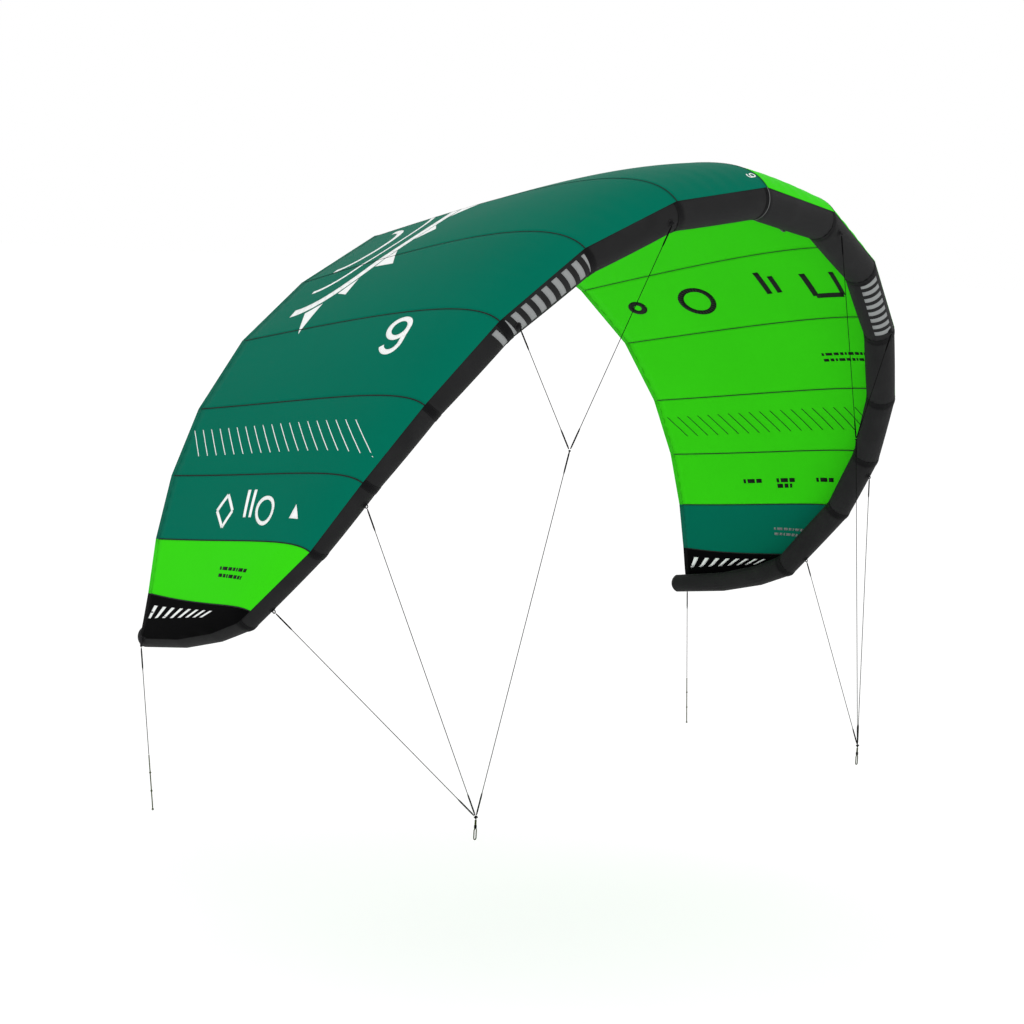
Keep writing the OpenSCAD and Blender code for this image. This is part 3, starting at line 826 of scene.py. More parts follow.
def seam_tape(name, side, k, face):
    """Flat tape along seam k, a little raised in its middle, on the upper face (1) or the lower one (-1)."""
    places = [(seam_station(k, t), np.array([t])) for t in np.linspace(0, 1, SEAM_STEPS)]
    centre = np.array([cloth_point(u, t)[0] for u, t in places])
    normal = np.array([cloth_normal(u, t)[0] for u, t in places])
    across = np.cross(normal, np.gradient(centre, axis=0))
    across /= np.linalg.norm(across, axis=-1, keepdims=True)
    offsets = SEAM_W * np.array([-0.5, -0.2, 0.2, 0.5])
    lift = face * (SEAM_LIFT + SEAM_CROWN * np.array([0, 1, 1, 0]))
    points = centre[:, None] + across[:, None] * offsets[:, None] + normal[:, None] * lift[:, None]
    tape = grid_piece(name, points * SIDES[side], strip_uv(offsets, lengths_along(centre)))
    return dress(tape, SEAM_TAPE, thickness=SEAM_T)


for side in SIDES:
    for k in range(1, LAST_SEAM + 1):
        for face_name, face in FACES:
            seam_tape(f"{side}_seam_{k}_{face_name}", side, k, face)
for face_name, face in FACES:
    seam_tape(f"centre_seam_{face_name}", "right", 0, face)
print("seam tapes", 2 * (2 * LAST_SEAM + 1))

# %% [markdown]
# ## Prints
# The panels carry plain printed shapes: a size numeral, a rank of thin slanted lines and rows of bars.
# Each shape is a thin layer of ink, made on the cloth's own surface from short strokes in metres.

# %% Print helpers
INK_LIFT = 0.0007
INK_T = 0.0002
WHITE_INK = (0.88, 0.90, 0.89)
DARK_INK = (0.006, 0.010, 0.006)
GREY_INK = (0.20, 0.21, 0.21)
LIGHT_INK = (0.26, 0.27, 0.27)


def ink_material(name, color):
    """Screen print on ripstop: the cloth's grid shows through, and the ink is worn thin in places."""
    material, tree, shader = new_material(name, 0.45, specular=0.06)
    cloth = use_group(tree, RIPSTOP, cut_map(tree), Pitch=0.0025, Thread=0.0003)
    wear = use_group(tree, WEAR, Scale=14.0, Amount=0.35)
    bright = tuple(min(1.0, c) for c in shaded(color, 1.08))
    base = mix_colors(tree, cloth.outputs["Mottle"], shaded(color, 0.88), bright)
    worn = mix_colors(tree, set_range(tree, wear.outputs["Mask"], 0.0, 0.25), base, shaded(color, 0.55))
    tree.links.new(worn, shader.inputs["Base Color"])
    add_bump(tree, shader, cloth.outputs["Height"], 0.00012, 0.5)
    return material


INK = {
    "white": ink_material("white_ink", WHITE_INK),
    "dark": ink_material("dark_ink", DARK_INK),
    "grey": ink_material("grey_ink", GREY_INK),
    "light": ink_material("light_grey_ink", LIGHT_INK),
}


def stroke(points, width):
    """Quads of a stroke of that width along a line of points on the flat."""
    points = np.asarray(points, float)
    run = np.gradient(points, axis=0)
    run /= np.linalg.norm(run, axis=1, keepdims=True)
    across = np.stack([-run[:, 1], run[:, 0]], axis=1) * width / 2
    left, right = points + across, points - across
    return [(left[i], right[i], right[i + 1], left[i + 1]) for i in range(len(points) - 1)]


def outline(points, width):
    """One straight stroke from each point to the next, with square ends."""
    return [quad for a, b in zip(points, points[1:]) for quad in stroke([a, b], width)]


def arc(centre, radius, start, end, steps=24, squash=1.0):
    """Points on a circle, angles in degrees. squash makes it an ellipse."""
    turns = np.radians(np.linspace(start, end, steps))
    return [(centre[0] + radius * math.cos(a), centre[1] + radius * squash * math.sin(a)) for a in turns]


def bar(x, y, width, height):
    """Upright bar with its lower left corner at x, y."""
    corners = ((x, y), (x + width, y), (x + width, y + height), (x, y + height))
    return [tuple(np.array(corner) for corner in corners)]


def triangle(a, b, c):
    a, b, c = (np.asarray(p, float) for p in (a, b, c))
    return [(a, b, (b + c) / 2, c)]


def ring(radius, width):
    return stroke(arc((0, 0), radius, 0, 360, 33), width)


def print_piece(name, side, u0, t0, quads, ink, face=1, split=4):
    """Prints quads on a panel. (0, 0) is the cloth point u0, t0; x runs to the tube and y to the centre."""
    here = np.array([t0])
    du = (cloth_point(u0 + 0.05, here) - cloth_point(u0 - 0.05, here))[0] / 0.1
    dt = (cloth_point(u0, here + 0.01) - cloth_point(u0, here - 0.01))[0] / 0.02
    per_u, per_t = np.linalg.norm(du), np.linalg.norm(dt)
    lean = float(du @ dt) / (per_u * per_t)
    square = math.sqrt(1 - lean * lean)
    vertices, faces, uv = [], [], []
    shares = np.linspace(0, 1, split + 1)
    for a, b, c, d in quads:
        base = len(vertices)
        for f in shares:
            for g in shares:
                x, y = (a * (1 - g) + b * g) * (1 - f) + (d * (1 - g) + c * g) * f
                u = u0 - y / (per_u * square)
                t = t0 - (x - lean * y / square) / per_t
                vertices.append(skin_point(u, min(max(t, 0.0), 1.0), INK_LIFT * face)[0] * SIDES[side])
                uv.append((x, y))
        faces += [tuple(base + i for i in quad) for quad in grid_faces(split + 1, split + 1)]
    piece = mesh_piece(name, vertices, faces, uv)
    return dress(piece, INK[ink], thickness=INK_T)


def print_both_faces(name, side, u0, t0, quads, ink, split=4):
    for face_name, face in FACES:
        print_piece(f"{name}_{face_name}", side, u0, t0, quads, ink, face, split)


# %% Size numeral
def numeral_nine(height, weight):
    """A plain 9: a ring with a tail that runs down and round to the left."""
    radius = height * 0.29
    centre = (0.0, height - radius)
    ring_line = arc(centre, radius, 0, 360, 33)
    tail = [(radius, height - radius), (radius * 0.98, height * 0.45)]
    tail += arc((0.0, radius), radius, 0, -160, 14, 0.98)
    return stroke(ring_line, weight) + stroke(tail, weight)


print_piece("left_size_numeral", "left", 3.52, 0.46, numeral_nine(0.18, 0.026), "white", 1, 2)
print_piece("left_size_numeral_small", "left", 0.10, 0.10, numeral_nine(0.045, 0.007), "white", 1, 2)
right_nine = [tuple(p * np.array([-1, 1]) for p in quad[::-1]) for quad in numeral_nine(0.18, 0.026)]
print_piece("right_size_numeral", "right", 3.52, 0.66, right_nine, "dark", 1, 2)


# %% Ranks of thin slanted lines
LINE_COUNT = 19
LINE_STEPS = 8
RANK_LINE_W = 0.0055


def chord_place(u, from_hem):
    """Chord place t at station u that lies from_hem metres from the hem along the cloth."""
    t = np.linspace(0, 1, 80)
    run = lengths_along(cloth_point(u, t))
    return float(np.interp(run[-1] - from_hem, run, t))


def ladder_piece(name, side, ladders, material):
    """Thin quads between the rungs of each ladder. A rung is two (point, uv) pairs, on the right side."""
    vertices, faces, uv = [], [], []
    for rungs in ladders:
        base = len(vertices)
        for point, place in (end for rung in rungs for end in rung):
            vertices.append(point * SIDES[side])
            uv.append(place)
        faces += [(q, q + 1, q + 3, q + 2) for q in range(base, len(vertices) - 2, 2)]
    return dress(mesh_piece(name, vertices, faces, uv), material, thickness=INK_T)


def rank_of_lines(side, ink, u_top, u_low, top, low):
    """Thin straight lines across a panel. top and low are (offset, pitch) of their ends, from the hem."""
    for face_name, face in FACES:
        ladders = []
        for n in range(LINE_COUNT):
            start, end = top[0] + top[1] * n, low[0] + low[1] * n
            rungs = []
            for f in np.linspace(0, 1, LINE_STEPS + 1):
                u = u_top + (u_low - u_top) * f
                rung = []
                for e in (-RANK_LINE_W / 2, RANK_LINE_W / 2):
                    from_hem = max(start + (end - start) * f + e, 0.001)
                    point = skin_point(u, chord_place(u, from_hem), INK_LIFT * face)[0]
                    rung.append((point, (e, f * 0.2)))
                rungs.append(rung)
            ladders.append(rungs)
        name = f"{side}_line_rank_{face_name}"
        ladder_piece(name, side, ladders, INK[ink])


rank_of_lines("left", "white", 4.33, 4.72, (0.017, 0.0615), (0.122, 0.064))
rank_of_lines("right", "dark", 4.32, 4.68, (0.03, 0.062), (0.12, 0.062))

# %% Wide pattern near the trailing edge, and small marks
SUN_STRETCH = 1.4
SUN_U, SUN_T = 1.55, 0.94


def half_ovals():
    """Half ovals, one inside the other. With the triangles they stand in for a large printed picture."""
    quads = []
    for radius, width in ((0.15, 0.035), (0.29, 0.024), (0.42, 0.06)):
        quads += stroke(arc((0, 0), radius, -88, 88, 33, SUN_STRETCH), width)
    return quads


def sun_triangles():
    """A row of triangles round the ovals, long and short in turn."""
    quads = []
    for i in range(7):
        middle = math.radians(-66 + 22 * i)
        reach = 0.62 if i % 2 == 0 else 0.54
        corners = [(reach, middle), (0.46, middle - 0.11), (0.46, middle + 0.11)]
        quads += triangle(*[(r * math.cos(a), SUN_STRETCH * r * math.sin(a)) for r, a in corners])
    return quads


print_piece("left_sun_ovals", "left", SUN_U, SUN_T, half_ovals(), "white", 1, 3)
print_piece("left_sun_triangles", "left", SUN_U, SUN_T, sun_triangles(), "white", 1, 10)

# Rows of open shapes, in place of lettering
DIAMOND = [(-0.056, 0), (0, 0.07), (0.056, 0), (0, -0.07), (-0.056, 0)]
OPEN_SQUARE = [(-0.08, 0.11), (-0.08, -0.05), (0.08, -0.05), (0.08, 0.11)]
TRIANGLE = [(0, 0.03), (-0.03, -0.03), (0.03, -0.03)]


def small_bars(rows, count, width, height, gap, line_gap):
    """Lines of small bars of uneven length, where a maker's address would be."""
    quads = []
    for r in range(rows):
        x = 0.0
        for i in range(count):
            length = width * (0.6 + 0.4 * ((3 * i + 2 * r) % 4))
            quads += bar(x, -r * line_gap, length, height)
            x += length + gap
    return quads


LEFT_BARS = bar(0, 0, 0.018, 0.12) + bar(0.04, 0, 0.018, 0.12)
RIGHT_BARS = bar(0, 0, 0.030, 0.16) + bar(0.06, 0, 0.030, 0.12)
for name, u0, t0, quads, ink, split in (
    ("left_mark_diamond", 5.56, 0.76, outline(DIAMOND, 0.016), "white", 3),
    ("left_mark_bars", 5.66, 0.66, LEFT_BARS, "white", 6),
    ("left_mark_ring", 5.56, 0.56, ring(0.055, 0.017), "white", 1),
    ("left_mark_small", 5.56, 0.37, triangle(*TRIANGLE), "white", 2),
    ("left_address_bars", 6.45, 0.62, small_bars(2, 7, 0.02, 0.014, 0.008, 0.03), "dark", 1),
    ("right_mark_disc_small", 2.46, 0.93, ring(0.035, 0.03), "dark", 1),
    ("right_mark_ring", 2.53, 0.80, ring(0.085, 0.030), "dark", 1),
    ("right_mark_bars", 2.60, 0.62, RIGHT_BARS, "dark", 6),
    ("right_mark_square", 2.60, 0.42, outline(OPEN_SQUARE, 0.030), "dark", 6),
    ("right_small_bars", 3.55, 0.50, small_bars(2, 9, 0.022, 0.016, 0.01, 0.035), "dark", 1),
    ("right_maker_mark_0", 5.6, 0.78, small_bars(1, 3, 0.024, 0.022, 0.01, 0.03), "dark", 1),
    ("right_maker_mark_1", 5.6, 0.65, small_bars(2, 3, 0.024, 0.022, 0.01, 0.03), "dark", 1),
    ("right_maker_mark_2", 5.6, 0.46, small_bars(1, 3, 0.024, 0.022, 0.01, 0.03), "dark", 1),
    ("right_address_bars", 6.5, 0.56, small_bars(2, 8, 0.018, 0.013, 0.008, 0.028), "grey", 1),
):
    print_both_faces(name, name.split("_")[0], u0, t0, quads, ink, split)


# %% Bars along each black tip
TIP_BARS = 8
TIP_BAR_NEAR, TIP_BAR_FAR = 0.045, 0.105
TIP_BAR_START, TIP_BAR_PITCH, TIP_BAR_W, TIP_BAR_SLANT = 0.93, 0.068, 0.026, 0.02


def off_seam(t, distance):
    """Station on the tip that lies distance metres beyond the last seam at chord place t."""
    stations = np.linspace(seam_station(LAST_SEAM, t), LAST - 0.5, 40)
    run = lengths_along(np.array([cloth_point(u, np.array([t]))[0] for u in stations]))
    return float(np.interp(distance, run, stations))


def tip_bar(n, face):
    """Rungs of bar n, counted from the hem."""
    rungs = []
    for f in np.linspace(0, 1, 4):
        distance = TIP_BAR_NEAR + (TIP_BAR_FAR - TIP_BAR_NEAR) * f
        low = TIP_BAR_START - TIP_BAR_PITCH * n + TIP_BAR_SLANT * f
        rungs.append(
            [
                (skin_point(off_seam(t, distance), t, INK_LIFT * face)[0], (distance, t))
                for t in (low, low + TIP_BAR_W)
            ]
        )
    return rungs


for side in SIDES:
    for face_name, face in FACES:
        bars = [tip_bar(n, face) for n in range(TIP_BARS)]
        ladder_piece(f"{side}_tip_bars_{face_name}", side, bars, INK["white"])

# %% [markdown]
# ## The inflated tube
# The leading edge is a row of tapered sleeves of stiff woven cloth, cut at an angle and sewn end to end.
# Air swells each one a little between its joints, and the inner side of each bend puckers, because the
# cloth is a bit too long there. Rings of points round the tube at each joint carry all of these shapes.

# %% Tube cloth material
def tube_material():
    material, tree, shader = new_material("tube_woven_cloth", 0.62, specular=0.06)
    vector = cut_map(tree)
    weave = use_group(tree, WEAVE, vector, Thread_pitch=0.0012)
    wear = use_group(tree, WEAR, Scale=5.0, Amount=0.5)
    base = mix_colors(tree, weave.outputs["Mottle"], (0.009, 0.0092, 0.0095), (0.019, 0.019, 0.0195))
    worn = mix_colors(tree, set_range(tree, wear.outputs["Mask"], 0.0, 0.35), base, (0.034, 0.034, 0.035))
    tree.links.new(worn, shader.inputs["Base Color"])
    tree.links.new(set_range(tree, weave.outputs["Mottle"], 0.5, 0.72), shader.inputs["Roughness"])
    add_bump(tree, shader, weave.outputs["Height"], 0.00015)
    return material


TUBE_CLOTH = tube_material()

# %% Tube sleeves
AROUND = 96
TUBE_STEPS = 28
TUBE_T = 0.0006
SWELL = 0.0018
PUCKER_DEPTH = 0.0030
PUCKER_REACH = 0.035
PUCKERS = 17
PUCKER_TURN = 1.7
DOME_RATIO = 1.15
DOME_STEPS = 13
DOME_POLE = 0.02
CROWD = 0.08
ANGLES = np.linspace(0, 360, AROUND, endpoint=False)


def swell_at(i, f):
    """How far air pushes a sleeve out at share f of segment i. The short tip segments keep their shape."""
    return SWELL * math.sin(math.pi * f) ** 0.7 if i < LAST_SEAM and 0 < f < 1 else 0.0


def tube_ring(i, grow=0.0, shift=0.0, angles=ANGLES):
    """Ring of points on the joint plane of station i, moved shift along the tube, grow off its surface."""
    a = np.radians(angles)[:, None]
    out = np.cos(a) * OUT[i] - np.sin(a) * BACK[i]
    run = ALONG[min(i, LAST - 1)] if shift >= 0 or i == 0 else ALONG[i - 1]
    slant = np.sqrt(1 - (out @ run) ** 2)[:, None]
    return AXIS[i] + out * (tube_radius(i) + grow) / slant + run * shift


def tube_wall(first, last):
    """Rows of points of the sleeve from joint first to joint last, with swell and puckers."""
    rows, along = [], []
    run_so_far = 0.0
    for i in range(first, last):
        length = float(np.linalg.norm(AXIS[i + 1] - AXIS[i]))
        shares = np.linspace(0, 1, TUBE_STEPS)
        # The rings lie closer together in mid segment than at the joints
        shares = shares - CROWD * np.sin(2 * np.pi * (shares - 0.5))
        for f in shares if i == last - 1 else shares[:-1]:
            ring_points = tube_ring(i) * (1 - f) + tube_ring(i + 1) * f
            out = ring_points - AXIS[i] * (1 - f) - AXIS[i + 1] * f
            out /= np.linalg.norm(out, axis=1, keepdims=True)
            depth = np.zeros(len(out))
            for joint, distance in ((i, f * length), (i + 1, (1 - f) * length)):
                if joint in (0, LAST):
                    continue
                inner = np.clip(0.25 - out @ OUT[joint], 0, 1)
                waves = 0.5 + 0.5 * np.cos(np.radians(ANGLES) * PUCKERS + joint * PUCKER_TURN)
                depth += inner * waves * PUCKER_DEPTH * math.exp(-distance / PUCKER_REACH)
            rows.append(ring_points + out * (swell_at(i, f) - depth)[:, None])
            along.append(run_so_far + f * length)
        run_so_far += length
    return rows, along


def add_dome(rows, along):
    """Closes the tip's sleeve with a cap of a ball, from its rim almost to the pole."""
    rim = tube_radius(LAST)
    ball = rim * DOME_RATIO
    setback = math.sqrt(ball * ball - rim * rim)
    spokes = rows[-1] - AXIS[LAST]
    spokes /= np.linalg.norm(spokes, axis=1, keepdims=True)
    start = math.asin(rim / ball)
    for f in np.linspace(0, 1, DOME_STEPS + 1)[1:]:
        a = start * (1 - f) + DOME_POLE * f
        centre = AXIS[LAST] + ALONG[-1] * (ball * math.cos(a) - setback)
        rows.append(centre + spokes * ball * math.sin(a))
        along.append(along[-1] + ball * start / DOME_STEPS)


def sleeve_piece(side, k):
    first, last = panel_range(k)
    rows, along = tube_wall(first, last)
    if k == TIP_PANEL:
        add_dome(rows, along)
    vertices = np.array(rows).reshape(-1, 3) * SIDES[side]
    faces = grid_faces(len(rows), AROUND, wrap=True, flip=side == "right")
    if side == "right" and k == 1:
        faces = [q for q in faces if not over_a_valve(vertices[list(q)].mean(axis=0))]
    uv = strip_uv(np.radians(ANGLES) * tube_radius(first), along)
    piece = mesh_piece(f"{side}_sleeve_{k}", vertices, faces, uv.reshape(-1, 2))
    dress(piece, TUBE_CLOTH, thickness=TUBE_T)
    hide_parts(f"{side}_tube_{k}")
    return piece


# Valves stand in holes of the first sleeve on the right
VALVE_HOLES = [((0.16443, 0.0105, -0.024), 0.0152), ((0.361746, 0.0231, -0.0528), 0.0225)]
VALVE_DIR = unit((-0.1404, 0.7666, -0.6266))


def over_a_valve(point):
    """True where a sleeve face would close a valve's bore."""
    for place, radius in VALVE_HOLES:
        v = point - np.array(place)
        reach = v @ VALVE_DIR
        if reach > 0 and np.linalg.norm(v - reach * VALVE_DIR) < radius:
            return True
    return False


for side in SIDES:
    for k in range(1, TIP_PANEL + 1):
        sleeve_piece(side, k)
print("tube sleeves", 2 * TIP_PANEL)


# %% Sewing flange: the strip of tube cloth that the canopy is sewn to
FLANGE_DROP = 0.0009
FLANGE_LAP = 0.006


def flange_piece(side):
    stations = np.concatenate([np.linspace(k, k + 1, 13)[:-1] for k in range(LAST)] + [[LAST - 1e-6]])
    feet = np.array([PROFILES[i][0] - CLOTH_LIFT * turned(i, SEWN_ANGLE[i]) for i in range(LAST + 1)])
    rows = []
    for u in stations:
        i = min(int(u), LAST - 1)
        foot = feet[i] * (i + 1 - u) + feet[i + 1] * (u - i)
        edge, lap = skin_point(u, [0.0, FLANGE_LAP], -FLANGE_DROP)
        rows.append([foot, (foot + edge) / 2, edge, lap])
    points = np.array(rows)
    across = lengths_along(points)
    along = lengths_along(points[:, 2])[:, None] + 0 * across
    uv = np.stack([across, along], axis=-1)
    flange = grid_piece(f"{side}_flange", points * SIDES[side], uv, flip=side == "left")
    return dress(flange, TUBE_CLOTH, thickness=TUBE_T)


for side in SIDES:
    flange_piece(side)

# %% [markdown]
# ## Bands over the joints
# A band of cloth is sewn over each joint of the tube, where sand and knocks wear it most. Each band is a low
# ring that bends with the joint. The one at the centre has a thin light piping line.

# %% Bands
BAND_W = 0.036
BAND_GROW = 0.0013
BAND_T = 0.0009
BAND_CROWN = 0.0005
PIPING_W, PIPING_RISE = 0.003, 0.0012
BAND_MATERIAL = tape_material("joint_band", (0.003, 0.003, 0.0035), 0.0145, 0.6, (0.02, 0.02, 0.02))
PIPING = tape_material("piping", (0.15, 0.155, 0.155), 0.5, 0.6)


def band_points(i, grow, half_width, shares):
    """Rings of points across a band, a little higher in its middle. A tiny shift picks the outer segment."""
    rows = []
    for share in shares:
        crown = BAND_CROWN * (1 - abs(share) ** 4)
        rows.append(tube_ring(i, grow + crown, share * half_width + (1e-6 if share == 0 else 0)))
    return np.array(rows)


def band_piece(name, side, i, grow, width, material):
    shares = np.array([-1, -0.94, -0.6, -0.25, 0, 0.25, 0.6, 0.94, 1.0])
    if i == 0:
        half = band_points(0, grow, width / 2, shares[4:])
        points = np.concatenate([(half * MIRROR)[::-1][:-1], half])
    else:
        points = band_points(i, grow, width / 2, shares)
    around = np.radians(ANGLES) * tube_radius(i)
    uv = strip_uv(around, shares * width / 2)[..., ::-1]
    band = grid_piece(name, points * SIDES[side], uv, wrap=True, flip=side == "right")
    return dress(band, material, thickness=BAND_T)


bands = [band_piece("centre_band", "right", 0, BAND_GROW, BAND_W, BAND_MATERIAL)]
for i in range(1, LAST_SEAM + 1):
    for side in SIDES:
        bands.append(band_piece(f"{side}_band_{i}", side, i, BAND_GROW, BAND_W, BAND_MATERIAL))
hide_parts("tube_bands")
band_piece("centre_piping", "right", 0, BAND_GROW + PIPING_RISE, PIPING_W, PIPING)
print("joint bands", len(bands))


# %% Grey blocks printed on the tube, where a name would be
def tube_patch_point(u, angle, grow):
    """Point on the tube at station u (fractions allowed) and angle round it, grow off its surface."""
    i = min(int(u), LAST - 1)
    f = u - i
    a = tube_ring(i, grow + swell_at(i, f), angles=[angle])[0]
    b = tube_ring(i + 1, grow + swell_at(i, f), angles=[angle])[0]
    return a * (1 - f) + b * f


BLOCK_STEPS = 8
BLOCK_SLANT = 0.03
BLOCK_LIFT = 0.0006


def tube_blocks(side, first_u, count, pitch, block, low_angle, high_angle):
    """A row of slanted blocks on the tube. pitch and block are in stations, the angles go round the tube."""
    blocks = []
    for n in range(count):
        rungs = []
        for f in np.linspace(0, 1, BLOCK_STEPS + 1):
            angle = low_angle + (high_angle - low_angle) * f
            start = first_u + n * pitch + BLOCK_SLANT * f
            rungs.append(
                [
                    (tube_patch_point(start + g * block, angle, BLOCK_LIFT), (g * 0.03, f * 0.09))
                    for g in (0, 1)
                ]
            )
        blocks.append(rungs)
    ladder_piece(f"{side}_tube_blocks", side, blocks, INK["light"])


tube_blocks("left", 1.98, 10, 0.118, 0.062, 128, 60)
tube_blocks("right", 2.02, 8, 0.112, 0.060, 165, 95)

# %% [markdown]
# ## Trailing edge tape
# The back edge of the canopy is folded into a tape that keeps it from fluttering. The tape has the colour of
# the panel it is sewn to. Its section is a flat oval, swept along the edge.

# %% Trailing edge tape
HEM_T = 0.0018
HEM_LAP = 0.004
HEM_SIDES = 14
HEM_HALF_W = 0.0105


HEM_TURNS = 2 * np.pi * np.arange(HEM_SIDES) / HEM_SIDES


def hem_row(u):
    """Ring of points round the hem at station u: a flat oval with square sides."""
    i = min(int(u), LAST - 1)
    f = u - i
    front = PROFILES[i][3] * (1 - f) + PROFILES[i + 1][3] * f
    back = EDGE[i] * (1 - f) + EDGE[i + 1] * f
    out = unit(OUT[i] * (1 - f) + OUT[i + 1] * f)
    chord = unit(back - front)
    front = front - chord * HEM_LAP
    middle, half = (front + back) / 2, np.linalg.norm(back - front) / 2
    c, s = np.cos(HEM_TURNS), np.sin(HEM_TURNS)
    x = np.sign(c) * np.abs(c) ** 0.4 * half
    y = np.sign(s) * np.abs(s) ** 0.8 * HEM_T / 2
    return middle + np.outer(x, chord) + np.outer(y, out)


CLOTH_COLORS = {"dark_green_cloth": DARK_GREEN, "lime_cloth": LIME, "tip_cloth": TIP_BLACK}
HEM_TAPES = {
    slot: tape_material(f"hem_{slot}", shaded(color, 0.8), 0.008, 0.7, shaded(color, 0.5))
    for slot, color in CLOTH_COLORS.items()
}


def hem_piece(side, k):
    """The tape over one panel's hem, in the panel's own colour."""
    first, last = panel_range(k)
    stations = np.linspace(first, last - 1e-6, 7 * (last - first))
    points = np.array([hem_row(u) for u in stations]) * SIDES[side]
    along = lengths_along(points[:, 0])
    faces = grid_faces(len(points), HEM_SIDES, wrap=True)
    faces.append(tuple(range(HEM_SIDES))[::-1])
    faces.append(tuple((len(points) - 1) * HEM_SIDES + n for n in range(HEM_SIDES)))
    if side == "left":
        faces = [q[::-1] for q in faces]
    uv = strip_uv(HEM_HALF_W * np.cos(HEM_TURNS), along)
    piece = mesh_piece(f"{side}_hem_tape_{k}", points.reshape(-1, 3), faces, uv.reshape(-1, 2))
    slot = panel_slot(side, k)
    dress(piece, HEM_TAPES[slot])
    return piece, float(along[-1])


hems = [hem_piece(side, k) for side in SIDES for k in range(1, TIP_PANEL + 1)]
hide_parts("trailing_tape")
print("hem tape", round(sum(length for _, length in hems), 2), "m long")

# %% [markdown]
# ## Webbing tabs and patches
# Each bridle line is tied to a small tab of webbing that stands on the tube. A round patch under the tab
# spreads its pull. The pump's leash is clipped to a larger tab of the same kind.

# %% Webbing material
def webbing_material(name, color):
    material, tree, shader = new_material(name, 0.75, specular=0.1)
    weave = use_group(tree, WEAVE, object_place(tree), Thread_pitch=0.0013)
    wear = use_group(tree, WEAR, Scale=40.0, Amount=0.6)
    base = mix_colors(tree, weave.outputs["Mottle"], shaded(color, 0.7), shaded(color, 1.3))
    worn = mix_colors(tree, set_range(tree, wear.outputs["Mask"], 0.0, 0.5), base, shaded(color, 4.0))
    tree.links.new(worn, shader.inputs["Base Color"])
    add_bump(tree, shader, weave.outputs["Height"], 0.0003)
    return material


WEBBING = webbing_material("webbing_weave", (0.010, 0.010, 0.011))

# %% Tabs
TAB_PLACES = [(1, 0.12), (2, 0.90), (5, 0.20), (6, 0.72)]
TAB_ANGLE = 105
LEASH_PLACE, LEASH_ANGLE = (0, 0.28), -125
PATCH_R, PATCH_GROW = 0.017, 0.0012
TAB_R, TAB_HOLE_R, TAB_EYE_H, TAB_T = 0.0088, 0.0042, 0.012, 0.0028
LEASH_R, LEASH_HOLE_R, LEASH_EYE_H, LEASH_T = 0.0138, 0.0091, 0.017, 0.0036
PATCH_T, PATCH_RINGS, PATCH_SPOKES, PATCH_EDGE = 0.0007, 7, 40, 0.0006
EYE_SPOKES, EYE_EDGE, EYE_SINK = 48, 0.0006, 0.0006


def segment_frame(place, angle):
    """Axis point, radius, run, outward direction and taper of the tube at a place on a segment."""
    i, f = place
    point = AXIS[i] * (1 - f) + AXIS[i + 1] * f
    radius = tube_radius(i) * (1 - f) + tube_radius(i + 1) * f
    chord = EDGE[i] * (1 - f) + EDGE[i + 1] * f - point
    back = square_to(chord, ALONG[i])
    out = np.cross(ALONG[i], back)
    a = math.radians(angle)
    taper = (tube_radius(i + 1) - tube_radius(i)) / np.linalg.norm(AXIS[i + 1] - AXIS[i])
    return point, radius, ALONG[i], math.cos(a) * out - math.sin(a) * back, taper


def patch_piece(name, side, place, angle, radius):
    """Round patch of cloth that follows the tube."""
    point, tube_r, run, up, taper = segment_frame(place, angle)
    across = np.cross(up, run)
    swell = swell_at(*place)
    vertices, uv = [], []
    for r in range(PATCH_RINGS):
        d = radius * (r + 0.02) / (PATCH_RINGS - 1 + 0.02)
        lift = PATCH_GROW + swell - (PATCH_EDGE if r == PATCH_RINGS - 1 else 0)
        for a in 2 * np.pi * np.arange(PATCH_SPOKES) / PATCH_SPOKES:
            x, y = d * math.cos(a), d * math.sin(a)
            turn = y / tube_r
            wall = tube_r + taper * x + lift
            vertices.append(point + run * x + (up * math.cos(turn) + across * math.sin(turn)) * wall)
            uv.append((d - radius + 0.003, a * radius))
    faces = grid_faces(PATCH_RINGS, PATCH_SPOKES, wrap=True) + [tuple(range(PATCH_SPOKES))[::-1]]
    piece = mesh_piece(name, np.array(vertices) * SIDES[side], faces, uv)
    return dress(piece, PATCH_CLOTH, thickness=PATCH_T)


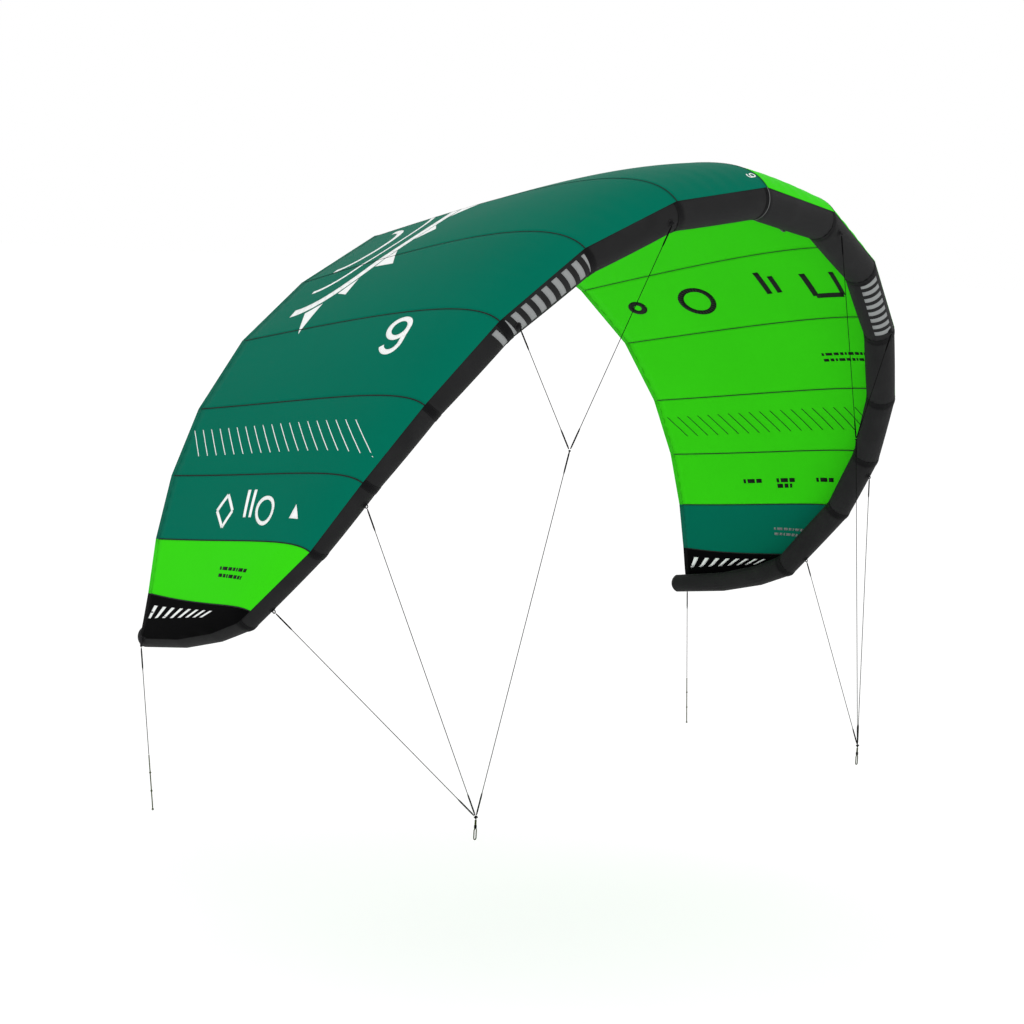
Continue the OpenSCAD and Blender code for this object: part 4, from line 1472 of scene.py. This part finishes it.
def eye_piece(name, side, place, angle, eye_h, outer_r, hole_r, thickness):
    """Webbing loop that stands on the tube: a plate with a round top, a straight foot and a hole."""
    point, tube_r, run, up, _ = segment_frame(place, angle)
    flat = np.cross(up, run)
    eye = point + up * (tube_r + eye_h)
    foot = eye_h - PATCH_GROW - EYE_SINK
    turns = 2 * np.pi * np.arange(EYE_SPOKES) / EYE_SPOKES
    circle = np.stack([np.cos(turns), np.sin(turns)], axis=1)
    reach = [
        outer_r if d >= 0 else min(outer_r / max(abs(c), 1e-6), foot / abs(d)) for c, d in circle
    ]
    outer = np.array(reach)
    inner = np.full(EYE_SPOKES, hole_r)
    half = thickness / 2
    # The section goes round the webbing: reach from the eye's middle, then height over its middle plane
    section = [
        (outer, half - EYE_EDGE),
        (outer - EYE_EDGE, half),
        (inner + EYE_EDGE, half),
        (inner, half - EYE_EDGE),
        (inner, EYE_EDGE - half),
        (inner + EYE_EDGE, -half),
        (outer - EYE_EDGE, -half),
        (outer, EYE_EDGE - half),
    ]
    rows = []
    for share, z in section:
        x, y = circle[:, 0] * share, circle[:, 1] * share
        rows.append(eye + np.outer(x, run) + np.outer(y, up) + flat * z)
    n, total = EYE_SPOKES, EYE_SPOKES * len(section)
    faces = grid_faces(len(section), n, wrap=True)
    faces += [(total - n + i, total - n + (i + 1) % n, (i + 1) % n, i) for i in range(n)]
    if side == "left":
        faces = [q[::-1] for q in faces]
    piece = mesh_piece(name, np.array(rows).reshape(-1, 3) * SIDES[side], faces)
    return dress(piece, WEBBING)


PATCH_CLOTH = tape_material("patch_cloth", (0.007, 0.007, 0.0075), 0.0001)
for side in SIDES:
    for n, place in enumerate(TAB_PLACES):
        patch_piece(f"{side}_tab_patch_{n}", side, place, TAB_ANGLE, PATCH_R)
        name = f"{side}_tab_{n}"
        eye_piece(name, side, place, TAB_ANGLE, TAB_EYE_H, TAB_R, TAB_HOLE_R, TAB_T)
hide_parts("line_tabs")
patch_piece("leash_patch", "left", LEASH_PLACE, LEASH_ANGLE, PATCH_R)
leash = eye_piece(
    "leash_tab", "left", LEASH_PLACE, LEASH_ANGLE, LEASH_EYE_H, LEASH_R, LEASH_HOLE_R, LEASH_T
)
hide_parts("leash_loop")

# %% [markdown]
# ## Rear straps
# A short loop of webbing on the outer side of the tube's end carries the rear line. It swings on its
# stitching. The webbing is folded round, so it is round at its top and at its foot.

# %% Rear straps
STRAP_TOP = np.array([1.900667, 1.725383, -1.995843])
STRAP_L, STRAP_W, STRAP_T = 0.040, 0.014, 0.0025
STRAP_PLACE = (9, 0.89)
STRAP_ANGLE = -58
STRAP_WAIST = 0.8
STRAP_PATCH_R = 0.0155


def strap_piece(side):
    """A strap folded round: round at its top and its foot, with a slight waist between."""
    half = STRAP_T / 2
    bend = [(half * math.cos(a), half * math.sin(a)) for a in np.radians(np.linspace(0, 180, 9))]
    section = bend + [(-half * STRAP_WAIST, -STRAP_L * f) for f in (0.2, 0.5, 0.8)]
    section += [(-x, -STRAP_L - z) for x, z in bend]
    section += [(half * STRAP_WAIST, -STRAP_L * f) for f in (0.8, 0.5, 0.2)]
    top = STRAP_TOP * SIDES[side]
    columns = [(-0.5, 0.75), (-0.47, 1.0), (-0.2, 1.0), (0.2, 1.0), (0.47, 1.0), (0.5, 0.75)]
    vertices = [top + np.array([x * thick, y * STRAP_W, z]) for y, thick in columns for x, z in section]
    n = len(section)
    faces = grid_faces(len(columns), n, wrap=True, flip=True)
    faces.append(tuple(range(n)))
    faces.append(tuple((len(columns) - 1) * n + s for s in range(n))[::-1])
    piece = mesh_piece(f"{side}_rear_webbing", vertices, faces)
    dress(piece, WEBBING, f"{side}_rear_strap")
    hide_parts(f"{side}_rear_strap")


for side in SIDES:
    strap_piece(side)
    patch_piece(f"{side}_strap_patch", side, STRAP_PLACE, STRAP_ANGLE, STRAP_PATCH_R)

# %% [markdown]
# ## Valves and bladder
# The valves, their caps and the bladder keep the shapes of the CAD parts, because those are exact.
# They only need materials: moulded plastic with a fine grain, and thin clear film for the bladder.

# %% Plastic and film
def plastic_material(name, color, roughness):
    material, tree, shader = new_material(name, roughness, specular=0.5)
    grain = noise(tree, object_place(tree), 900.0, 2.0)
    wear = use_group(tree, WEAR, Scale=60.0, Amount=0.5)
    scuffed = tuple(c * 2.2 + 0.01 for c in color)
    worn = mix_colors(tree, wear.outputs["Mask"], color, scuffed)
    tree.links.new(worn, shader.inputs["Base Color"])
    tree.links.new(set_range(tree, grain, roughness - 0.08, roughness + 0.12), shader.inputs["Roughness"])
    add_bump(tree, shader, grain, 0.00008)
    return material


VALVE_PLASTIC = plastic_material("valve_plastic", (0.010, 0.010, 0.011), 0.38)
CAP_PLASTIC = plastic_material("cap_plastic", (0.055, 0.056, 0.058), 0.45)
FILM = plastic_material("bladder_film", (0.55, 0.56, 0.54), 0.25)


def paint_node(node, material):
    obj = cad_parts[node]
    for material_slot in obj.material_slots:
        material_slot.material = material


for kind in ("inflate", "deflate"):
    paint_node(f"{kind}_valve", VALVE_PLASTIC)
    paint_node(f"{kind}_cap", CAP_PLASTIC)
paint_node("bladder", FILM)

# %% [markdown]
# ## Floor and light
# A very wide pale floor lies well below the kite and a white sky surrounds it. Soft lamps from the front and
# above give the cloth its shape. Plain view colours keep the cloth as bright as it is in daylight.

# %% Floor and light
FLOOR_Z = -3.4
FLOOR_R = 400.0
FLOOR_SPOKES = 72
FLOOR_GREY = 0.75
FLOOR_GLOW = 0.32
floor_turns = 2 * np.pi * np.arange(FLOOR_SPOKES) / FLOOR_SPOKES
floor_points = [(0, 0, FLOOR_Z)] + [
    (FLOOR_R * math.cos(a), FLOOR_R * math.sin(a), FLOOR_Z) for a in floor_turns
]
floor_faces = [(0, i, i % FLOOR_SPOKES + 1) for i in range(1, FLOOR_SPOKES + 1)]
floor = mesh_piece("floor", floor_points, floor_faces)
floor_material, _, floor_shader = new_material("floor_paint", 0.9, specular=0.0)
floor_shader.inputs["Base Color"].default_value = (FLOOR_GREY, FLOOR_GREY, FLOOR_GREY, 1)
floor_shader.inputs["Emission Color"].default_value = (1, 1, 1, 1)
floor_shader.inputs["Emission Strength"].default_value = FLOOR_GLOW
paint(floor, floor_material)

world = bpy.data.worlds.new("sky")
world.use_nodes = True
background = next(n for n in world.node_tree.nodes if n.type == "BACKGROUND")
background.inputs["Color"].default_value = (1, 1, 1, 1)
background.inputs["Strength"].default_value = 1.0
bpy.context.scene.world = world
bpy.context.scene.view_settings.view_transform = "Standard"


def lamp(name, place, target, size, power):
    data = bpy.data.lights.new(name, "AREA")
    data.shape = "DISK"
    data.size = size
    data.energy = power
    lamp_object = link(bpy.data.objects.new(name, data))
    aim(lamp_object, place, target)


KITE_MIDDLE = (0, 0.9, -1.0)
lamp("key_lamp", (-7, -6, 5), KITE_MIDDLE, 5, 170)
lamp("fill_lamp", (5, -8, -2.2), KITE_MIDDLE, 5, 50)
